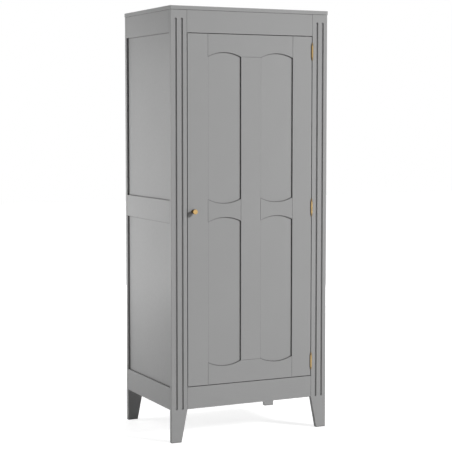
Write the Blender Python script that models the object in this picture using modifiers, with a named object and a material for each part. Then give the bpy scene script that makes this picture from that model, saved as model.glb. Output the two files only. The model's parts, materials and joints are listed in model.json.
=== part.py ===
# Single-door wardrobe in painted wood: framed carcass on tapered legs, framed door on three brass hinges.
# Metres, +Z up, the front faces -Y. The origin is on the floor, in the middle of the whole part's box.

import math

import bmesh
import bpy
from mathutils import Matrix, Vector

# Driving sizes of the carcass
OVERALL_HEIGHT = 1.800
CARCASS_WIDTH = 0.730
CARCASS_DEPTH = 0.504
TOP_THICKNESS = 0.016
TOP_SIDE_OVERHANG = 0.002
TOP_FRONT_OVERHANG = 0.0015
TOP_EDGE_RADIUS = 0.001
POST_WIDTH = 0.072
POST_THICKNESS = 0.018
LEG_HEIGHT = 0.137
LEG_FOOT_WIDTH = 0.045
RAIL_THICKNESS = 0.018
TOP_RAIL_HEIGHT = 0.0917
BOTTOM_RAIL_HEIGHT = 0.092
MID_RAIL_HEIGHT = 0.092
SIDE_PANEL_RECESS = 0.0085
BACK_PANEL_RECESS = 0.007
PANEL_THICKNESS = 0.004
TENON_LENGTH = 0.015
TENON_THICKNESS = 0.006
TENON_SHOULDER = 0.012

# Flutes of the front posts
FLUTE_RADIUS = 0.005
FLUTE_SPACING = 0.027
FLUTE_TOP_MARGIN = 0.033

# Fittings inside
FLOOR_THICKNESS = 0.016
CLEAT_THICKNESS = 0.018
FLOOR_CLEAT_HEIGHT = 0.018
SHELF_DROP = 0.350
SHELF_THICKNESS = 0.016
SHELF_SETBACK = 0.027
SHELF_CLEAT_HEIGHT = 0.070
RAIL_DROP = 0.044
HANGING_RAIL_RADIUS = 0.0125
HANGING_RAIL_WALL = 0.0012
SOCKET_FLANGE_RADIUS = 0.022
SOCKET_FLANGE_THICKNESS = 0.003
SOCKET_DEPTH = 0.015
SOCKET_WALL = 0.0022
SOCKET_BACK = 0.0015
STOP_THICKNESS = 0.015
STOP_OVERLAP = 0.012
STOP_SEAT = 0.020
STOP_END_MARGIN = 0.020

# Door
DOOR_GAP = 0.0025
DOOR_THICKNESS = 0.018
STILE_WIDTH = 0.092
DOOR_RAIL_HEIGHT = 0.092
DOOR_MID_RAIL_HEIGHT = 0.092
MUNTIN_WIDTH = 0.092
ARCH_RISE = 0.018
DOOR_PANEL_RECESS = 0.0055
PANEL_TUCK = 0.008
TONGUE_SHOULDER = 0.006

# Hinges
HINGE_LEAF_HEIGHT = 0.050
HINGE_LEAF_THICKNESS = 0.0012
HINGE_LEAF_MARGIN = 0.0025
HINGE_LEAF_PROUD = 0.0006
HINGE_END_DISTANCE = 0.063
KNUCKLE_RADIUS = 0.004
PIN_RADIUS = 0.0015
PIN_PROUD = 0.0016
FINIAL_LENGTH = 0.013
FINIAL_SHAPE = (
    (0.0, 1.0),
    (0.22, 0.96),
    (0.50, 0.78),
    (0.74, 0.48),
    (0.84, 0.22),
    (0.78, 0.10),
    (1.0, 0.02),
    (1.0, 0.0),
)
FINIAL_HOLLOW = ((0.0, 1.0), (0.50, 0.78), (0.84, 0.22), (1.0, 0.02), (1.0, 0.0))
HINGE_HOLE_RADIUS = 0.0018
HINGE_HOLE_OFFSET = 0.015

# Knob, its screw and the catch
KNOB_RADIUS = 0.0108
KNOB_PROJECTION = 0.024
KNOB_HEAD_THICKNESS = 0.009
KNOB_DISH_DEPTH = 0.0008
KNOB_NECK_RADIUS = 0.0050
KNOB_BASE_RADIUS = 0.0075
KNOB_BASE_THICKNESS = 0.003
KNOB_EDGE_DISTANCE = 0.0245
KNOB_HEIGHT = 0.960
KNOB_BORE_SPARE = 0.002
KNOB_SCREW_RADIUS = 0.002
KNOB_SCREW_REACH = 0.012
KNOB_SCREW_HEAD_RADIUS = 0.0042
KNOB_SCREW_HEAD_THICKNESS = 0.0024
CATCH_WIDTH = 0.044
CATCH_HEIGHT = 0.0125
CATCH_DISTANCE = 0.060
MAGNET_WIDTH = 0.020
MAGNET_HEIGHT = 0.006
MAGNET_DEPTH = 0.008
STRIKE_WIDTH = 0.034
STRIKE_HEIGHT = 0.012
STRIKE_THICKNESS = 0.0012
SMALL_SCREW_RADIUS = 0.0015
SMALL_SCREW_HEAD_RADIUS = 0.003
SMALL_SCREW_HEAD_THICKNESS = 0.0018
SMALL_SCREW_REACH = 0.009
CATCH_SCREW_SPACING = 0.034

# Clearances and edges
FIT = 0.0003
KNUCKLE_CLEARANCE = 0.0004
EDGE_RADIUS = 0.0006
EDGE_SEGMENTS = 1
ROUND_STEPS = 28
KNUCKLE_STEPS = 16
SCREW_STEPS = 12
FLUTE_STEPS = 20
ARCH_STEPS = 12
OVERCUT = 0.005

# Places worked out from the sizes
FRONT = -(CARCASS_DEPTH - KNOB_PROJECTION) / 2
BACK = FRONT + CARCASS_DEPTH
HALF_WIDTH = CARCASS_WIDTH / 2
POST_BACK = FRONT + POST_THICKNESS
REAR_POST_FRONT = BACK - POST_THICKNESS
FRAME_TOP = OVERALL_HEIGHT - TOP_THICKNESS - FIT
TOP_RAIL_BOTTOM = FRAME_TOP - TOP_RAIL_HEIGHT
BOTTOM_RAIL_TOP = LEG_HEIGHT + BOTTOM_RAIL_HEIGHT
SIDE_MIDDLE = (BOTTOM_RAIL_TOP + TOP_RAIL_BOTTOM) / 2
MID_RAIL_BOTTOM = SIDE_MIDDLE - MID_RAIL_HEIGHT / 2
MID_RAIL_TOP = SIDE_MIDDLE + MID_RAIL_HEIGHT / 2
OPENING_HALF = HALF_WIDTH - POST_WIDTH
GROOVE_DEPTH = PANEL_TUCK + FIT

DOOR_LEFT = -OPENING_HALF + DOOR_GAP
DOOR_RIGHT = OPENING_HALF - DOOR_GAP
DOOR_BOTTOM = BOTTOM_RAIL_TOP + DOOR_GAP
DOOR_TOP = TOP_RAIL_BOTTOM - DOOR_GAP
DOOR_BACK = FRONT + DOOR_THICKNESS
DOOR_MIDDLE = (DOOR_BOTTOM + DOOR_TOP) / 2
DOOR_CENTRE = (DOOR_LEFT + DOOR_RIGHT) / 2
STILE_INNER_LEFT = DOOR_LEFT + STILE_WIDTH
STILE_INNER_RIGHT = DOOR_RIGHT - STILE_WIDTH
MUNTIN_LEFT = DOOR_CENTRE - MUNTIN_WIDTH / 2
MUNTIN_RIGHT = DOOR_CENTRE + MUNTIN_WIDTH / 2
DOOR_TOP_RAIL_END = DOOR_TOP - DOOR_RAIL_HEIGHT
DOOR_BOTTOM_RAIL_END = DOOR_BOTTOM + DOOR_RAIL_HEIGHT
DOOR_MID_RAIL_BOTTOM = DOOR_MIDDLE - DOOR_MID_RAIL_HEIGHT / 2
DOOR_MID_RAIL_TOP = DOOR_MIDDLE + DOOR_MID_RAIL_HEIGHT / 2
DOOR_PANEL_FRONT = FRONT + DOOR_PANEL_RECESS
DOOR_PANEL_BACK = DOOR_PANEL_FRONT + PANEL_THICKNESS

PIN_X = OPENING_HALF - DOOR_GAP / 2
PIN_Y = FRONT - PIN_PROUD
HINGE_HEIGHTS = {
    "bottom": DOOR_BOTTOM + HINGE_END_DISTANCE,
    "middle": DOOR_MIDDLE,
    "top": DOOR_TOP - HINGE_END_DISTANCE,
}
KNUCKLE_LENGTH = (HINGE_LEAF_HEIGHT - 2 * FIT) / 3
HINGE_LEAF_REACH = min(POST_THICKNESS, DOOR_THICKNESS) - HINGE_LEAF_MARGIN

SHELF_TOP = OVERALL_HEIGHT - SHELF_DROP
SHELF_BOTTOM = SHELF_TOP - SHELF_THICKNESS
SHELF_CLEAT_TOP = SHELF_BOTTOM - FIT
HANGING_RAIL_HEIGHT = SHELF_CLEAT_TOP - RAIL_DROP
CLEAT_FACE = HALF_WIDTH - SIDE_PANEL_RECESS - PANEL_THICKNESS - FIT - CLEAT_THICKNESS
STOP_BOTTOM = TOP_RAIL_BOTTOM - STOP_OVERLAP
STOP_FRONT = POST_BACK + FIT
STRIKE_FRONT = DOOR_BACK + FIT
CATCH_FRONT = STRIKE_FRONT + STRIKE_THICKNESS + FIT
CATCH_TOP = STOP_BOTTOM - FIT
CATCH_BOTTOM = CATCH_TOP - CATCH_HEIGHT
CATCH_CENTRE_Z = (CATCH_TOP + CATCH_BOTTOM) / 2
CATCH_X = -OPENING_HALF + CATCH_DISTANCE
KNOB_X = DOOR_LEFT + KNOB_EDGE_DISTANCE


def start_empty():
    """Remove every object of the open scene and return the two collections that the parts go in."""
    for obj in list(bpy.data.objects):
        bpy.data.objects.remove(obj, do_unlink=True)
    scene = bpy.context.scene
    groups = []
    for name in ("single_door_wardrobe", "cutters"):
        group = bpy.data.collections.new(name)
        scene.collection.children.link(group)
        groups.append(group)
    return groups


PARTS, CUTTERS = start_empty()


def finish(name, colour, roughness, metallic):
    """A Principled material of one colour, given as linear red, green and blue."""
    made = bpy.data.materials.new(name)
    made.use_nodes = True
    shader = made.node_tree.nodes["Principled BSDF"]
    shader.inputs["Base Color"].default_value = (*colour, 1.0)
    shader.inputs["Roughness"].default_value = roughness
    shader.inputs["Metallic"].default_value = metallic
    made.diffuse_color = (*colour, 1.0)
    return made


GREY_PAINT = (0.34, 0.34, 0.34)
BRASS = (0.72, 0.47, 0.20)
STEEL = (0.55, 0.55, 0.57)
PALE_PLASTIC = (0.62, 0.62, 0.60)


def take(obj, parent, where):
    """Put an object at a place in the world, under an optional parent that isn't turned."""
    obj.location = Vector(where)
    if parent is not None:
        obj.parent = parent
        obj.location = Vector(where) - parent.location
    return obj


def add(name, mesh, group, where, parent=None):
    obj = bpy.data.objects.new(name, mesh)
    group.objects.link(obj)
    return take(obj, parent, where)


def hide_tool(obj):
    """Mark an object as a cutter or a joined shape, which isn't a piece by itself."""
    obj.hide_render = True
    obj.display_type = "WIRE"
    return obj


def box_mesh(name, size):
    mesh = bpy.data.meshes.new(name)
    shape = bmesh.new()
    bmesh.ops.create_cube(shape, size=1.0)
    bmesh.ops.scale(shape, vec=Vector(size), verts=shape.verts)
    shape.to_mesh(mesh)
    shape.free()
    return mesh


def box(name, low, high, group, parent=None):
    low = Vector(low)
    high = Vector(high)
    return add(name, box_mesh(name, high - low), group, (low + high) / 2, parent)


def round_edges(obj, radius, segments=EDGE_SEGMENTS):
    bevel = obj.modifiers.new("rounded_edges", "BEVEL")
    bevel.width = radius
    bevel.segments = segments
    bevel.limit_method = "ANGLE"
    bevel.angle_limit = math.radians(40)
    return obj


def board(name, low, high, look, parent=None, radius=EDGE_RADIUS):
    """A straight piece of wood between two corners, with its edges eased."""
    obj = box(name, low, high, PARTS, parent)
    round_edges(obj, radius)
    obj.data.materials.append(look)
    return obj


def combine(obj, tool, operation):
    hide_tool(tool)
    step = obj.modifiers.new(tool.name, "BOOLEAN")
    step.operation = operation
    step.solver = "EXACT"
    step.object = tool
    return obj


def cut_box(obj, name, low, high):
    return combine(obj, box(obj.name + "_" + name, low, high, CUTTERS, obj.parent), "DIFFERENCE")


def join_box(obj, name, low, high):
    return combine(obj, box(obj.name + "_" + name, low, high, CUTTERS, obj.parent), "UNION")


def smooth(obj):
    """Shade round pieces smooth and keep their real edges sharp."""
    obj.data.shade_smooth()
    obj.data.set_sharp_from_angle(angle=math.radians(35))
    return obj


def turned(name, profile, group, where, parent=None, steps=ROUND_STEPS, turn=None):
    """A turned shape: (radius, height) points down its outer side, spun about Z by a Screw modifier.

    A profile that doesn't end on the axis is closed on itself, for a tube.
    """
    mesh = bpy.data.meshes.new(name)
    points = [(radius, 0.0, height) for radius, height in profile]
    edges = [(i, i + 1) for i in range(len(points) - 1)]
    if profile[-1][0] > 0:
        edges.append((len(points) - 1, 0))
    mesh.from_pydata(points, edges, [])
    obj = add(name, mesh, group, where, parent)
    if turn is not None:
        obj.rotation_euler = turn
    screw = obj.modifiers.new("turned", "SCREW")
    screw.axis = "Z"
    screw.steps = steps
    screw.render_steps = steps
    screw.use_merge_vertices = True
    screw.merge_threshold = 0.00001
    screw.use_smooth_shade = True
    return obj


def turned_piece(name, profile, look, where, parent=None, steps=ROUND_STEPS, turn=None):
    obj = turned(name, profile, PARTS, where, parent, steps, turn)
    obj.data.materials.append(look)
    return obj


def round_tool(name, radius, low, high, where, parent=None, steps=KNUCKLE_STEPS, turn=None):
    """A plain cylinder that another piece is cut with or joined to, along Z before it is turned."""
    mesh = bpy.data.meshes.new(name)
    shape = bmesh.new()
    bmesh.ops.create_cone(
        shape, cap_ends=True, segments=steps, radius1=radius, radius2=radius, depth=high - low
    )
    bmesh.ops.translate(shape, vec=(0.0, 0.0, (low + high) / 2), verts=shape.verts)
    shape.to_mesh(mesh)
    shape.free()
    obj = add(name, mesh, CUTTERS, where, parent)
    if turn is not None:
        obj.rotation_euler = turn
    return obj


def flat_shape(name, outline, front, back, look, parent=None):
    """A board cut to an outline of (x, z) points, its faces at the front and back depths."""
    curve = bpy.data.curves.new(name, "CURVE")
    curve.dimensions = "2D"
    curve.fill_mode = "BOTH"
    curve.extrude = (back - front) / 2
    spline = curve.splines.new("POLY")
    spline.points.add(len(outline) - 1)
    centre_x = sum(x for x, _ in outline) / len(outline)
    centre_z = sum(z for _, z in outline) / len(outline)
    for point, (x, z) in zip(spline.points, outline):
        point.co = (x - centre_x, z - centre_z, 0.0, 1.0)
    spline.use_cyclic_u = True
    drawn = bpy.data.objects.new(name + "_outline", curve)
    PARTS.objects.link(drawn)
    drawn.location = (centre_x, (front + back) / 2, centre_z)
    drawn.rotation_euler = (math.radians(90), 0.0, 0.0)
    bpy.context.view_layer.update()
    depsgraph = bpy.context.evaluated_depsgraph_get()
    mesh = bpy.data.meshes.new_from_object(drawn.evaluated_get(depsgraph))
    shape = bmesh.new()
    shape.from_mesh(mesh)
    bmesh.ops.remove_doubles(shape, verts=shape.verts, dist=0.00001)
    bmesh.ops.transform(shape, matrix=Matrix.Rotation(math.radians(90), 4, "X"), verts=shape.verts)
    bmesh.ops.dissolve_limit(shape, angle_limit=math.radians(1), verts=shape.verts, edges=shape.edges)
    shape.to_mesh(mesh)
    shape.free()
    where = drawn.location.copy()
    bpy.data.objects.remove(drawn, do_unlink=True)
    mesh.materials.clear()
    obj = add(name, mesh, PARTS, where, parent)
    obj.data.materials.append(look)
    round_edges(obj, EDGE_RADIUS)
    return obj


def arch_points(x_from, x_to, z_end, rise):
    """Points of a circular arch from one end to the other, both ends at one height, without the last one."""
    half = abs(x_to - x_from) / 2
    radius = (half * half + rise * rise) / (2 * abs(rise))
    spread = math.asin(half / radius)
    middle = (x_from + x_to) / 2
    way = 1 if x_to > x_from else -1
    lift = 1 if rise > 0 else -1
    points = []
    for i in range(ARCH_STEPS):
        angle = -spread + 2 * spread * i / ARCH_STEPS
        x = middle + way * radius * math.sin(angle)
        z = z_end + lift * (radius * math.cos(angle) - (radius - abs(rise)))
        points.append((x, z))
    return points


def span(side, near, far):
    """The lower and upper x of a stretch given from the middle outwards on one side."""
    return (near, far) if side > 0 else (-far, -near)


def make_top_board():
    low = (-HALF_WIDTH - TOP_SIDE_OVERHANG, FRONT - TOP_FRONT_OVERHANG, OVERALL_HEIGHT - TOP_THICKNESS)
    high = (HALF_WIDTH + TOP_SIDE_OVERHANG, BACK, OVERALL_HEIGHT)
    board("top_board", low, high, finish("top_board_paint", GREY_PAINT, 0.5, 0.0), radius=TOP_EDGE_RADIUS)


def post_outline(side):
    """Upright with its leg tapered on the inner edge."""
    foot = HALF_WIDTH - LEG_FOOT_WIDTH
    points = [
        (side * HALF_WIDTH, 0.0),
        (side * HALF_WIDTH, FRAME_TOP),
        (side * OPENING_HALF, FRAME_TOP),
        (side * OPENING_HALF, LEG_HEIGHT),
        (side * foot, 0.0),
    ]
    return points if side > 0 else points[::-1]


def cut_mortise(post, name, side, middle, low, high):
    """The slot in a post's inner edge for a rail's tenon."""
    x_low, x_high = span(side, OPENING_HALF - OVERCUT, OPENING_HALF + TENON_LENGTH + FIT)
    half = TENON_THICKNESS / 2 + FIT
    cut_box(
        post,
        name,
        (x_low, middle - half, low + TENON_SHOULDER - FIT),
        (x_high, middle + half, high - TENON_SHOULDER + FIT),
    )


def cut_side_groove(post, side, face, into):
    """The groove that holds the side panels' edges and the side rails' tongues."""
    outer = HALF_WIDTH - SIDE_PANEL_RECESS + FIT
    x_low, x_high = span(side, outer - PANEL_THICKNESS - 2 * FIT, outer)
    depths = sorted((face - into * OVERCUT, face + into * GROOVE_DEPTH))
    bottom = LEG_HEIGHT + TONGUE_SHOULDER - FIT
    top = FRAME_TOP - TONGUE_SHOULDER + FIT
    cut_box(post, "side_groove", (x_low, depths[0], bottom), (x_high, depths[1], top))


def cut_flutes(post, side):
    """Two upright flutes with round ends, stopped below the top and where the leg begins."""
    centre = side * (HALF_WIDTH - POST_WIDTH / 2)
    high = FRAME_TOP - FLUTE_TOP_MARGIN - FLUTE_RADIUS
    low = LEG_HEIGHT + FLUTE_RADIUS
    arc = [math.radians(angle) for angle in range(90, -1, -30)]
    profile = [(FLUTE_RADIUS * math.cos(a), high + FLUTE_RADIUS * math.sin(a)) for a in arc]
    profile += [(FLUTE_RADIUS * math.cos(a), low - FLUTE_RADIUS * math.sin(a)) for a in reversed(arc)]
    profile[0] = (0.0, high + FLUTE_RADIUS)
    profile[-1] = (0.0, low - FLUTE_RADIUS)
    for number, offset in enumerate((-FLUTE_SPACING / 2, FLUTE_SPACING / 2), start=1):
        name = "%s_flute_%d" % (post.name, number)
        tool = turned(name, profile, CUTTERS, (centre + offset, FRONT, 0.0), steps=FLUTE_STEPS)
        combine(post, tool, "DIFFERENCE")


def finial_profile():
    """The pointed tip of a hinge, from its point down to the barrel it sits on."""
    return [(share * KNUCKLE_RADIUS, along * FINIAL_LENGTH) for share, along in FINIAL_SHAPE]


def barrel_hollow_profile():
    """Outline of the hollow round a hinge's barrel and its two tips, clear of them all round."""
    half = HINGE_LEAF_HEIGHT / 2 + FIT
    points = []
    for share, along in FINIAL_HOLLOW:
        radius = share * KNUCKLE_RADIUS + (KNUCKLE_CLEARANCE if share > 0 else 0.0)
        lift = KNUCKLE_CLEARANCE if along > 0 else 0.0
        points.append((radius, half + along * FINIAL_LENGTH + lift))
    return points + [(radius, -height) for radius, height in reversed(points)]


def cut_hinge_seats(obj, wood_side):
    """Shallow seats for the hinge leaves, and the hollow that each barrel lies in."""
    face = OPENING_HALF if wood_side > 0 else DOOR_RIGHT
    depth = HINGE_LEAF_THICKNESS - HINGE_LEAF_PROUD + FIT
    xs = sorted((face + wood_side * depth, face - wood_side * DOOR_GAP / 2))
    half = HINGE_LEAF_HEIGHT / 2 + FIT
    for name, height in HINGE_HEIGHTS.items():
        low = (xs[0], FRONT - OVERCUT, height - half)
        high = (xs[1], FRONT + HINGE_LEAF_REACH + FIT, height + half)
        cut_box(obj, "leaf_seat_" + name, low, high)
        tool = turned(
            "%s_barrel_hollow_%s" % (obj.name, name),
            barrel_hollow_profile(),
            CUTTERS,
            (PIN_X, PIN_Y, height),
            obj.parent,
            KNUCKLE_STEPS,
        )
        combine(obj, tool, "DIFFERENCE")


def make_posts():
    front_middle = FRONT + POST_THICKNESS / 2
    rear_middle = BACK - POST_THICKNESS / 2
    for side, side_name in ((-1, "left"), (1, "right")):
        front_name = "front_post_" + side_name
        look = finish(front_name + "_paint", GREY_PAINT, 0.5, 0.0)
        front = flat_shape(front_name, post_outline(side), FRONT, POST_BACK, look)
        cut_side_groove(front, side, POST_BACK, -1)
        cut_mortise(front, "top_mortise", side, front_middle, TOP_RAIL_BOTTOM, FRAME_TOP)
        cut_mortise(front, "apron_mortise", side, front_middle, LEG_HEIGHT, BOTTOM_RAIL_TOP)
        cut_flutes(front, side)
        if side > 0:
            cut_hinge_seats(front, 1)
        rear_name = "rear_post_" + side_name
        look = finish(rear_name + "_paint", GREY_PAINT, 0.5, 0.0)
        rear = flat_shape(rear_name, post_outline(side), REAR_POST_FRONT, BACK, look)
        cut_side_groove(rear, side, REAR_POST_FRONT, 1)
        cut_mortise(rear, "top_mortise", side, rear_middle, TOP_RAIL_BOTTOM, FRAME_TOP)
        cut_mortise(rear, "bottom_mortise", side, rear_middle, LEG_HEIGHT, BOTTOM_RAIL_TOP)
        x_low, x_high = span(side, OPENING_HALF - OVERCUT, OPENING_HALF + GROOVE_DEPTH)
        groove_back = BACK - BACK_PANEL_RECESS + FIT
        cut_box(
            rear,
            "back_groove",
            (x_low, groove_back - PANEL_THICKNESS - 2 * FIT, BOTTOM_RAIL_TOP - GROOVE_DEPTH),
            (x_high, groove_back, TOP_RAIL_BOTTOM + GROOVE_DEPTH),
        )


def make_cross_rail(name, middle_y, low, high):
    """A rail between the two posts of the front or the back, with a tenon at each end."""
    look = finish(name + "_paint", GREY_PAINT, 0.5, 0.0)
    half = OPENING_HALF - FIT
    rail = board(
        name,
        (-half, middle_y - RAIL_THICKNESS / 2, low),
        (half, middle_y + RAIL_THICKNESS / 2, high),
        look,
    )
    for side, side_name in ((-1, "left"), (1, "right")):
        x_low, x_high = span(side, half - OVERCUT, OPENING_HALF + TENON_LENGTH)
        join_box(
            rail,
            side_name + "_tenon",
            (x_low, middle_y - TENON_THICKNESS / 2, low + TENON_SHOULDER),
            (x_high, middle_y + TENON_THICKNESS / 2, high - TENON_SHOULDER),
        )
    return rail


def make_front_and_back_frames():
    front_middle = FRONT + RAIL_THICKNESS / 2
    back_middle = BACK - RAIL_THICKNESS / 2
    make_cross_rail("front_top_rail", front_middle, TOP_RAIL_BOTTOM, FRAME_TOP)
    make_cross_rail("front_apron", front_middle, LEG_HEIGHT, BOTTOM_RAIL_TOP)
    back_top = make_cross_rail("back_top_rail", back_middle, TOP_RAIL_BOTTOM, FRAME_TOP)
    back_bottom = make_cross_rail("back_bottom_rail", back_middle, LEG_HEIGHT, BOTTOM_RAIL_TOP)
    panel_back = BACK - BACK_PANEL_RECESS
    panel_front = panel_back - PANEL_THICKNESS
    long = OPENING_HALF + OVERCUT
    cut_box(
        back_top,
        "groove",
        (-long, panel_front - FIT, TOP_RAIL_BOTTOM - OVERCUT),
        (long, panel_back + FIT, TOP_RAIL_BOTTOM + GROOVE_DEPTH),
    )
    cut_box(
        back_bottom,
        "groove",
        (-long, panel_front - FIT, BOTTOM_RAIL_TOP - GROOVE_DEPTH),
        (long, panel_back + FIT, BOTTOM_RAIL_TOP + OVERCUT),
    )
    reach = OPENING_HALF + PANEL_TUCK
    board(
        "back_panel",
        (-reach, panel_front, BOTTOM_RAIL_TOP - PANEL_TUCK),
        (reach, panel_back, TOP_RAIL_BOTTOM + PANEL_TUCK),
        finish("back_panel_paint", GREY_PAINT, 0.5, 0.0),
    )


def make_side_rail(name, side, low, high, groove_low, groove_high):
    """A side rail flush with the posts, grooved on the edges that meet a panel, with a tongue at each end."""
    look = finish(name + "_paint", GREY_PAINT, 0.5, 0.0)
    x_low, x_high = span(side, HALF_WIDTH - RAIL_THICKNESS, HALF_WIDTH)
    y_low = POST_BACK + FIT
    y_high = REAR_POST_FRONT - FIT
    rail = board(name, (x_low, y_low, low), (x_high, y_high, high), look)
    outer = HALF_WIDTH - SIDE_PANEL_RECESS
    tongue = span(side, outer - PANEL_THICKNESS, outer)
    groove = span(side, outer - PANEL_THICKNESS - FIT, outer + FIT)
    tongue_low = low + (GROOVE_DEPTH if groove_low else TONGUE_SHOULDER)
    tongue_high = high - (GROOVE_DEPTH if groove_high else TONGUE_SHOULDER)
    y_from = y_low - OVERCUT
    y_to = y_high + OVERCUT
    if groove_low:
        cut_box(rail, "lower_groove", (groove[0], y_from, low - OVERCUT), (groove[1], y_to, low + GROOVE_DEPTH))
    if groove_high:
        cut_box(rail, "upper_groove", (groove[0], y_from, high - GROOVE_DEPTH), (groove[1], y_to, high + OVERCUT))
    ends = (
        ("front_tongue", POST_BACK - PANEL_TUCK, y_low + OVERCUT),
        ("rear_tongue", y_high - OVERCUT, REAR_POST_FRONT + PANEL_TUCK),
    )
    for end_name, start, stop in ends:
        join_box(rail, end_name, (tongue[0], start, tongue_low + FIT), (tongue[1], stop, tongue_high - FIT))


def make_side_frames():
    for side, side_name in ((-1, "left"), (1, "right")):
        prefix = "side_%s_" % side_name
        make_side_rail(prefix + "top_rail", side, TOP_RAIL_BOTTOM, FRAME_TOP, True, False)
        make_side_rail(prefix + "mid_rail", side, MID_RAIL_BOTTOM, MID_RAIL_TOP, True, True)
        make_side_rail(prefix + "bottom_rail", side, LEG_HEIGHT, BOTTOM_RAIL_TOP, False, True)
        outer = HALF_WIDTH - SIDE_PANEL_RECESS
        x_low, x_high = span(side, outer - PANEL_THICKNESS, outer)
        y_low = POST_BACK - PANEL_TUCK
        y_high = REAR_POST_FRONT + PANEL_TUCK
        heights = (
            ("panel_upper", MID_RAIL_TOP, TOP_RAIL_BOTTOM),
            ("panel_lower", BOTTOM_RAIL_TOP, MID_RAIL_BOTTOM),
        )
        for name, low, high in heights:
            look = finish(prefix + name + "_paint", GREY_PAINT, 0.5, 0.0)
            board(
                prefix + name,
                (x_low, y_low, low - PANEL_TUCK),
                (x_high, y_high, high + PANEL_TUCK),
                look,
            )


def make_floor():
    top = BOTTOM_RAIL_TOP + FIT
    half = HALF_WIDTH - RAIL_THICKNESS - FIT
    y_low = POST_BACK + FIT
    y_high = REAR_POST_FRONT - FIT
    board(
        "floor_board",
        (-half, y_low, top),
        (half, y_high, top + FLOOR_THICKNESS),
        finish("floor_board_paint", GREY_PAINT, 0.5, 0.0),
    )
    for side, side_name in ((-1, "left"), (1, "right")):
        x_low, x_high = span(side, half - CLEAT_THICKNESS, half)
        board(
            "floor_cleat_" + side_name,
            (x_low, y_low, BOTTOM_RAIL_TOP - FLOOR_CLEAT_HEIGHT),
            (x_high, y_high, BOTTOM_RAIL_TOP),
            finish("floor_cleat_%s_paint" % side_name, GREY_PAINT, 0.5, 0.0),
        )


def socket_profile():
    """The cup that holds the end of the hanging rail, its flange at the wall and its mouth up."""
    inner = HANGING_RAIL_RADIUS + FIT
    outer = inner + SOCKET_WALL
    return [
        (0.0, SOCKET_BACK),
        (inner, SOCKET_BACK),
        (inner, SOCKET_DEPTH),
        (outer, SOCKET_DEPTH),
        (outer, SOCKET_FLANGE_THICKNESS),
        (SOCKET_FLANGE_RADIUS - FIT, SOCKET_FLANGE_THICKNESS),
        (SOCKET_FLANGE_RADIUS, SOCKET_FLANGE_THICKNESS / 2),
        (SOCKET_FLANGE_RADIUS, 0.0),
        (0.0, 0.0),
    ]


def make_shelf_and_rail():
    y_low = POST_BACK + FIT
    y_high = REAR_POST_FRONT - FIT
    half = HALF_WIDTH - SIDE_PANEL_RECESS - PANEL_THICKNESS - FIT
    board(
        "shelf",
        (-half, POST_BACK + SHELF_SETBACK, SHELF_BOTTOM),
        (half, y_high, SHELF_TOP),
        finish("shelf_paint", GREY_PAINT, 0.5, 0.0),
    )
    middle_y = (y_low + y_high) / 2
    for side, side_name in ((-1, "left"), (1, "right")):
        x_low, x_high = span(side, CLEAT_FACE, CLEAT_FACE + CLEAT_THICKNESS)
        board(
            "shelf_cleat_" + side_name,
            (x_low, y_low, SHELF_CLEAT_TOP - SHELF_CLEAT_HEIGHT),
            (x_high, y_high, SHELF_CLEAT_TOP),
            finish("shelf_cleat_%s_paint" % side_name, GREY_PAINT, 0.5, 0.0),
        )
        turned_piece(
            "hanging_rail_socket_" + side_name,
            socket_profile(),
            finish("socket_%s_metal" % side_name, STEEL, 0.3, 1.0),
            (side * (CLEAT_FACE - FIT), middle_y, HANGING_RAIL_HEIGHT),
            turn=(0.0, -side * math.radians(90), 0.0),
        )
    reach = CLEAT_FACE - FIT - SOCKET_BACK - FIT
    inner = HANGING_RAIL_RADIUS - HANGING_RAIL_WALL
    profile = [
        (inner, -reach),
        (inner, reach),
        (HANGING_RAIL_RADIUS, reach),
        (HANGING_RAIL_RADIUS, -reach),
    ]
    turned_piece(
        "hanging_rail",
        profile,
        finish("hanging_rail_metal", STEEL, 0.3, 1.0),
        (0.0, middle_y, HANGING_RAIL_HEIGHT),
        turn=(0.0, math.radians(90), 0.0),
    )


def screw_profile(reach, radius, head_radius, head_thickness):
    """A screw with a low domed head at the bottom and its shank up, the head's seat at height 0."""
    return [
        (0.0, reach),
        (radius * 0.6, reach),
        (radius, reach - radius),
        (radius, 0.0),
        (head_radius, 0.0),
        (head_radius, -head_thickness * 0.45),
        (head_radius * 0.72, -head_thickness * 0.85),
        (0.0, -head_thickness),
    ]


def sunk_screw_profile(reach, clearance, beyond):
    """A flush screw with its flat head at height 0 and its shank up, or the seat that it lies in."""
    radius = SMALL_SCREW_RADIUS + clearance
    head = SMALL_SCREW_HEAD_RADIUS + clearance
    points = [
        (0.0, reach),
        (radius, reach - (SMALL_SCREW_RADIUS if beyond == 0 else 0.0)),
        (radius, STRIKE_THICKNESS),
        (head, 0.0),
    ]
    if beyond > 0:
        points.append((head, -beyond))
    return points + [(0.0, -beyond)]


def cut_round(obj, name, radius, low, high, where, turn=None):
    tool = round_tool("%s_%s" % (obj.name, name), radius, low, high, where, obj.parent, SCREW_STEPS, turn)
    combine(obj, tool, "DIFFERENCE")


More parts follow.
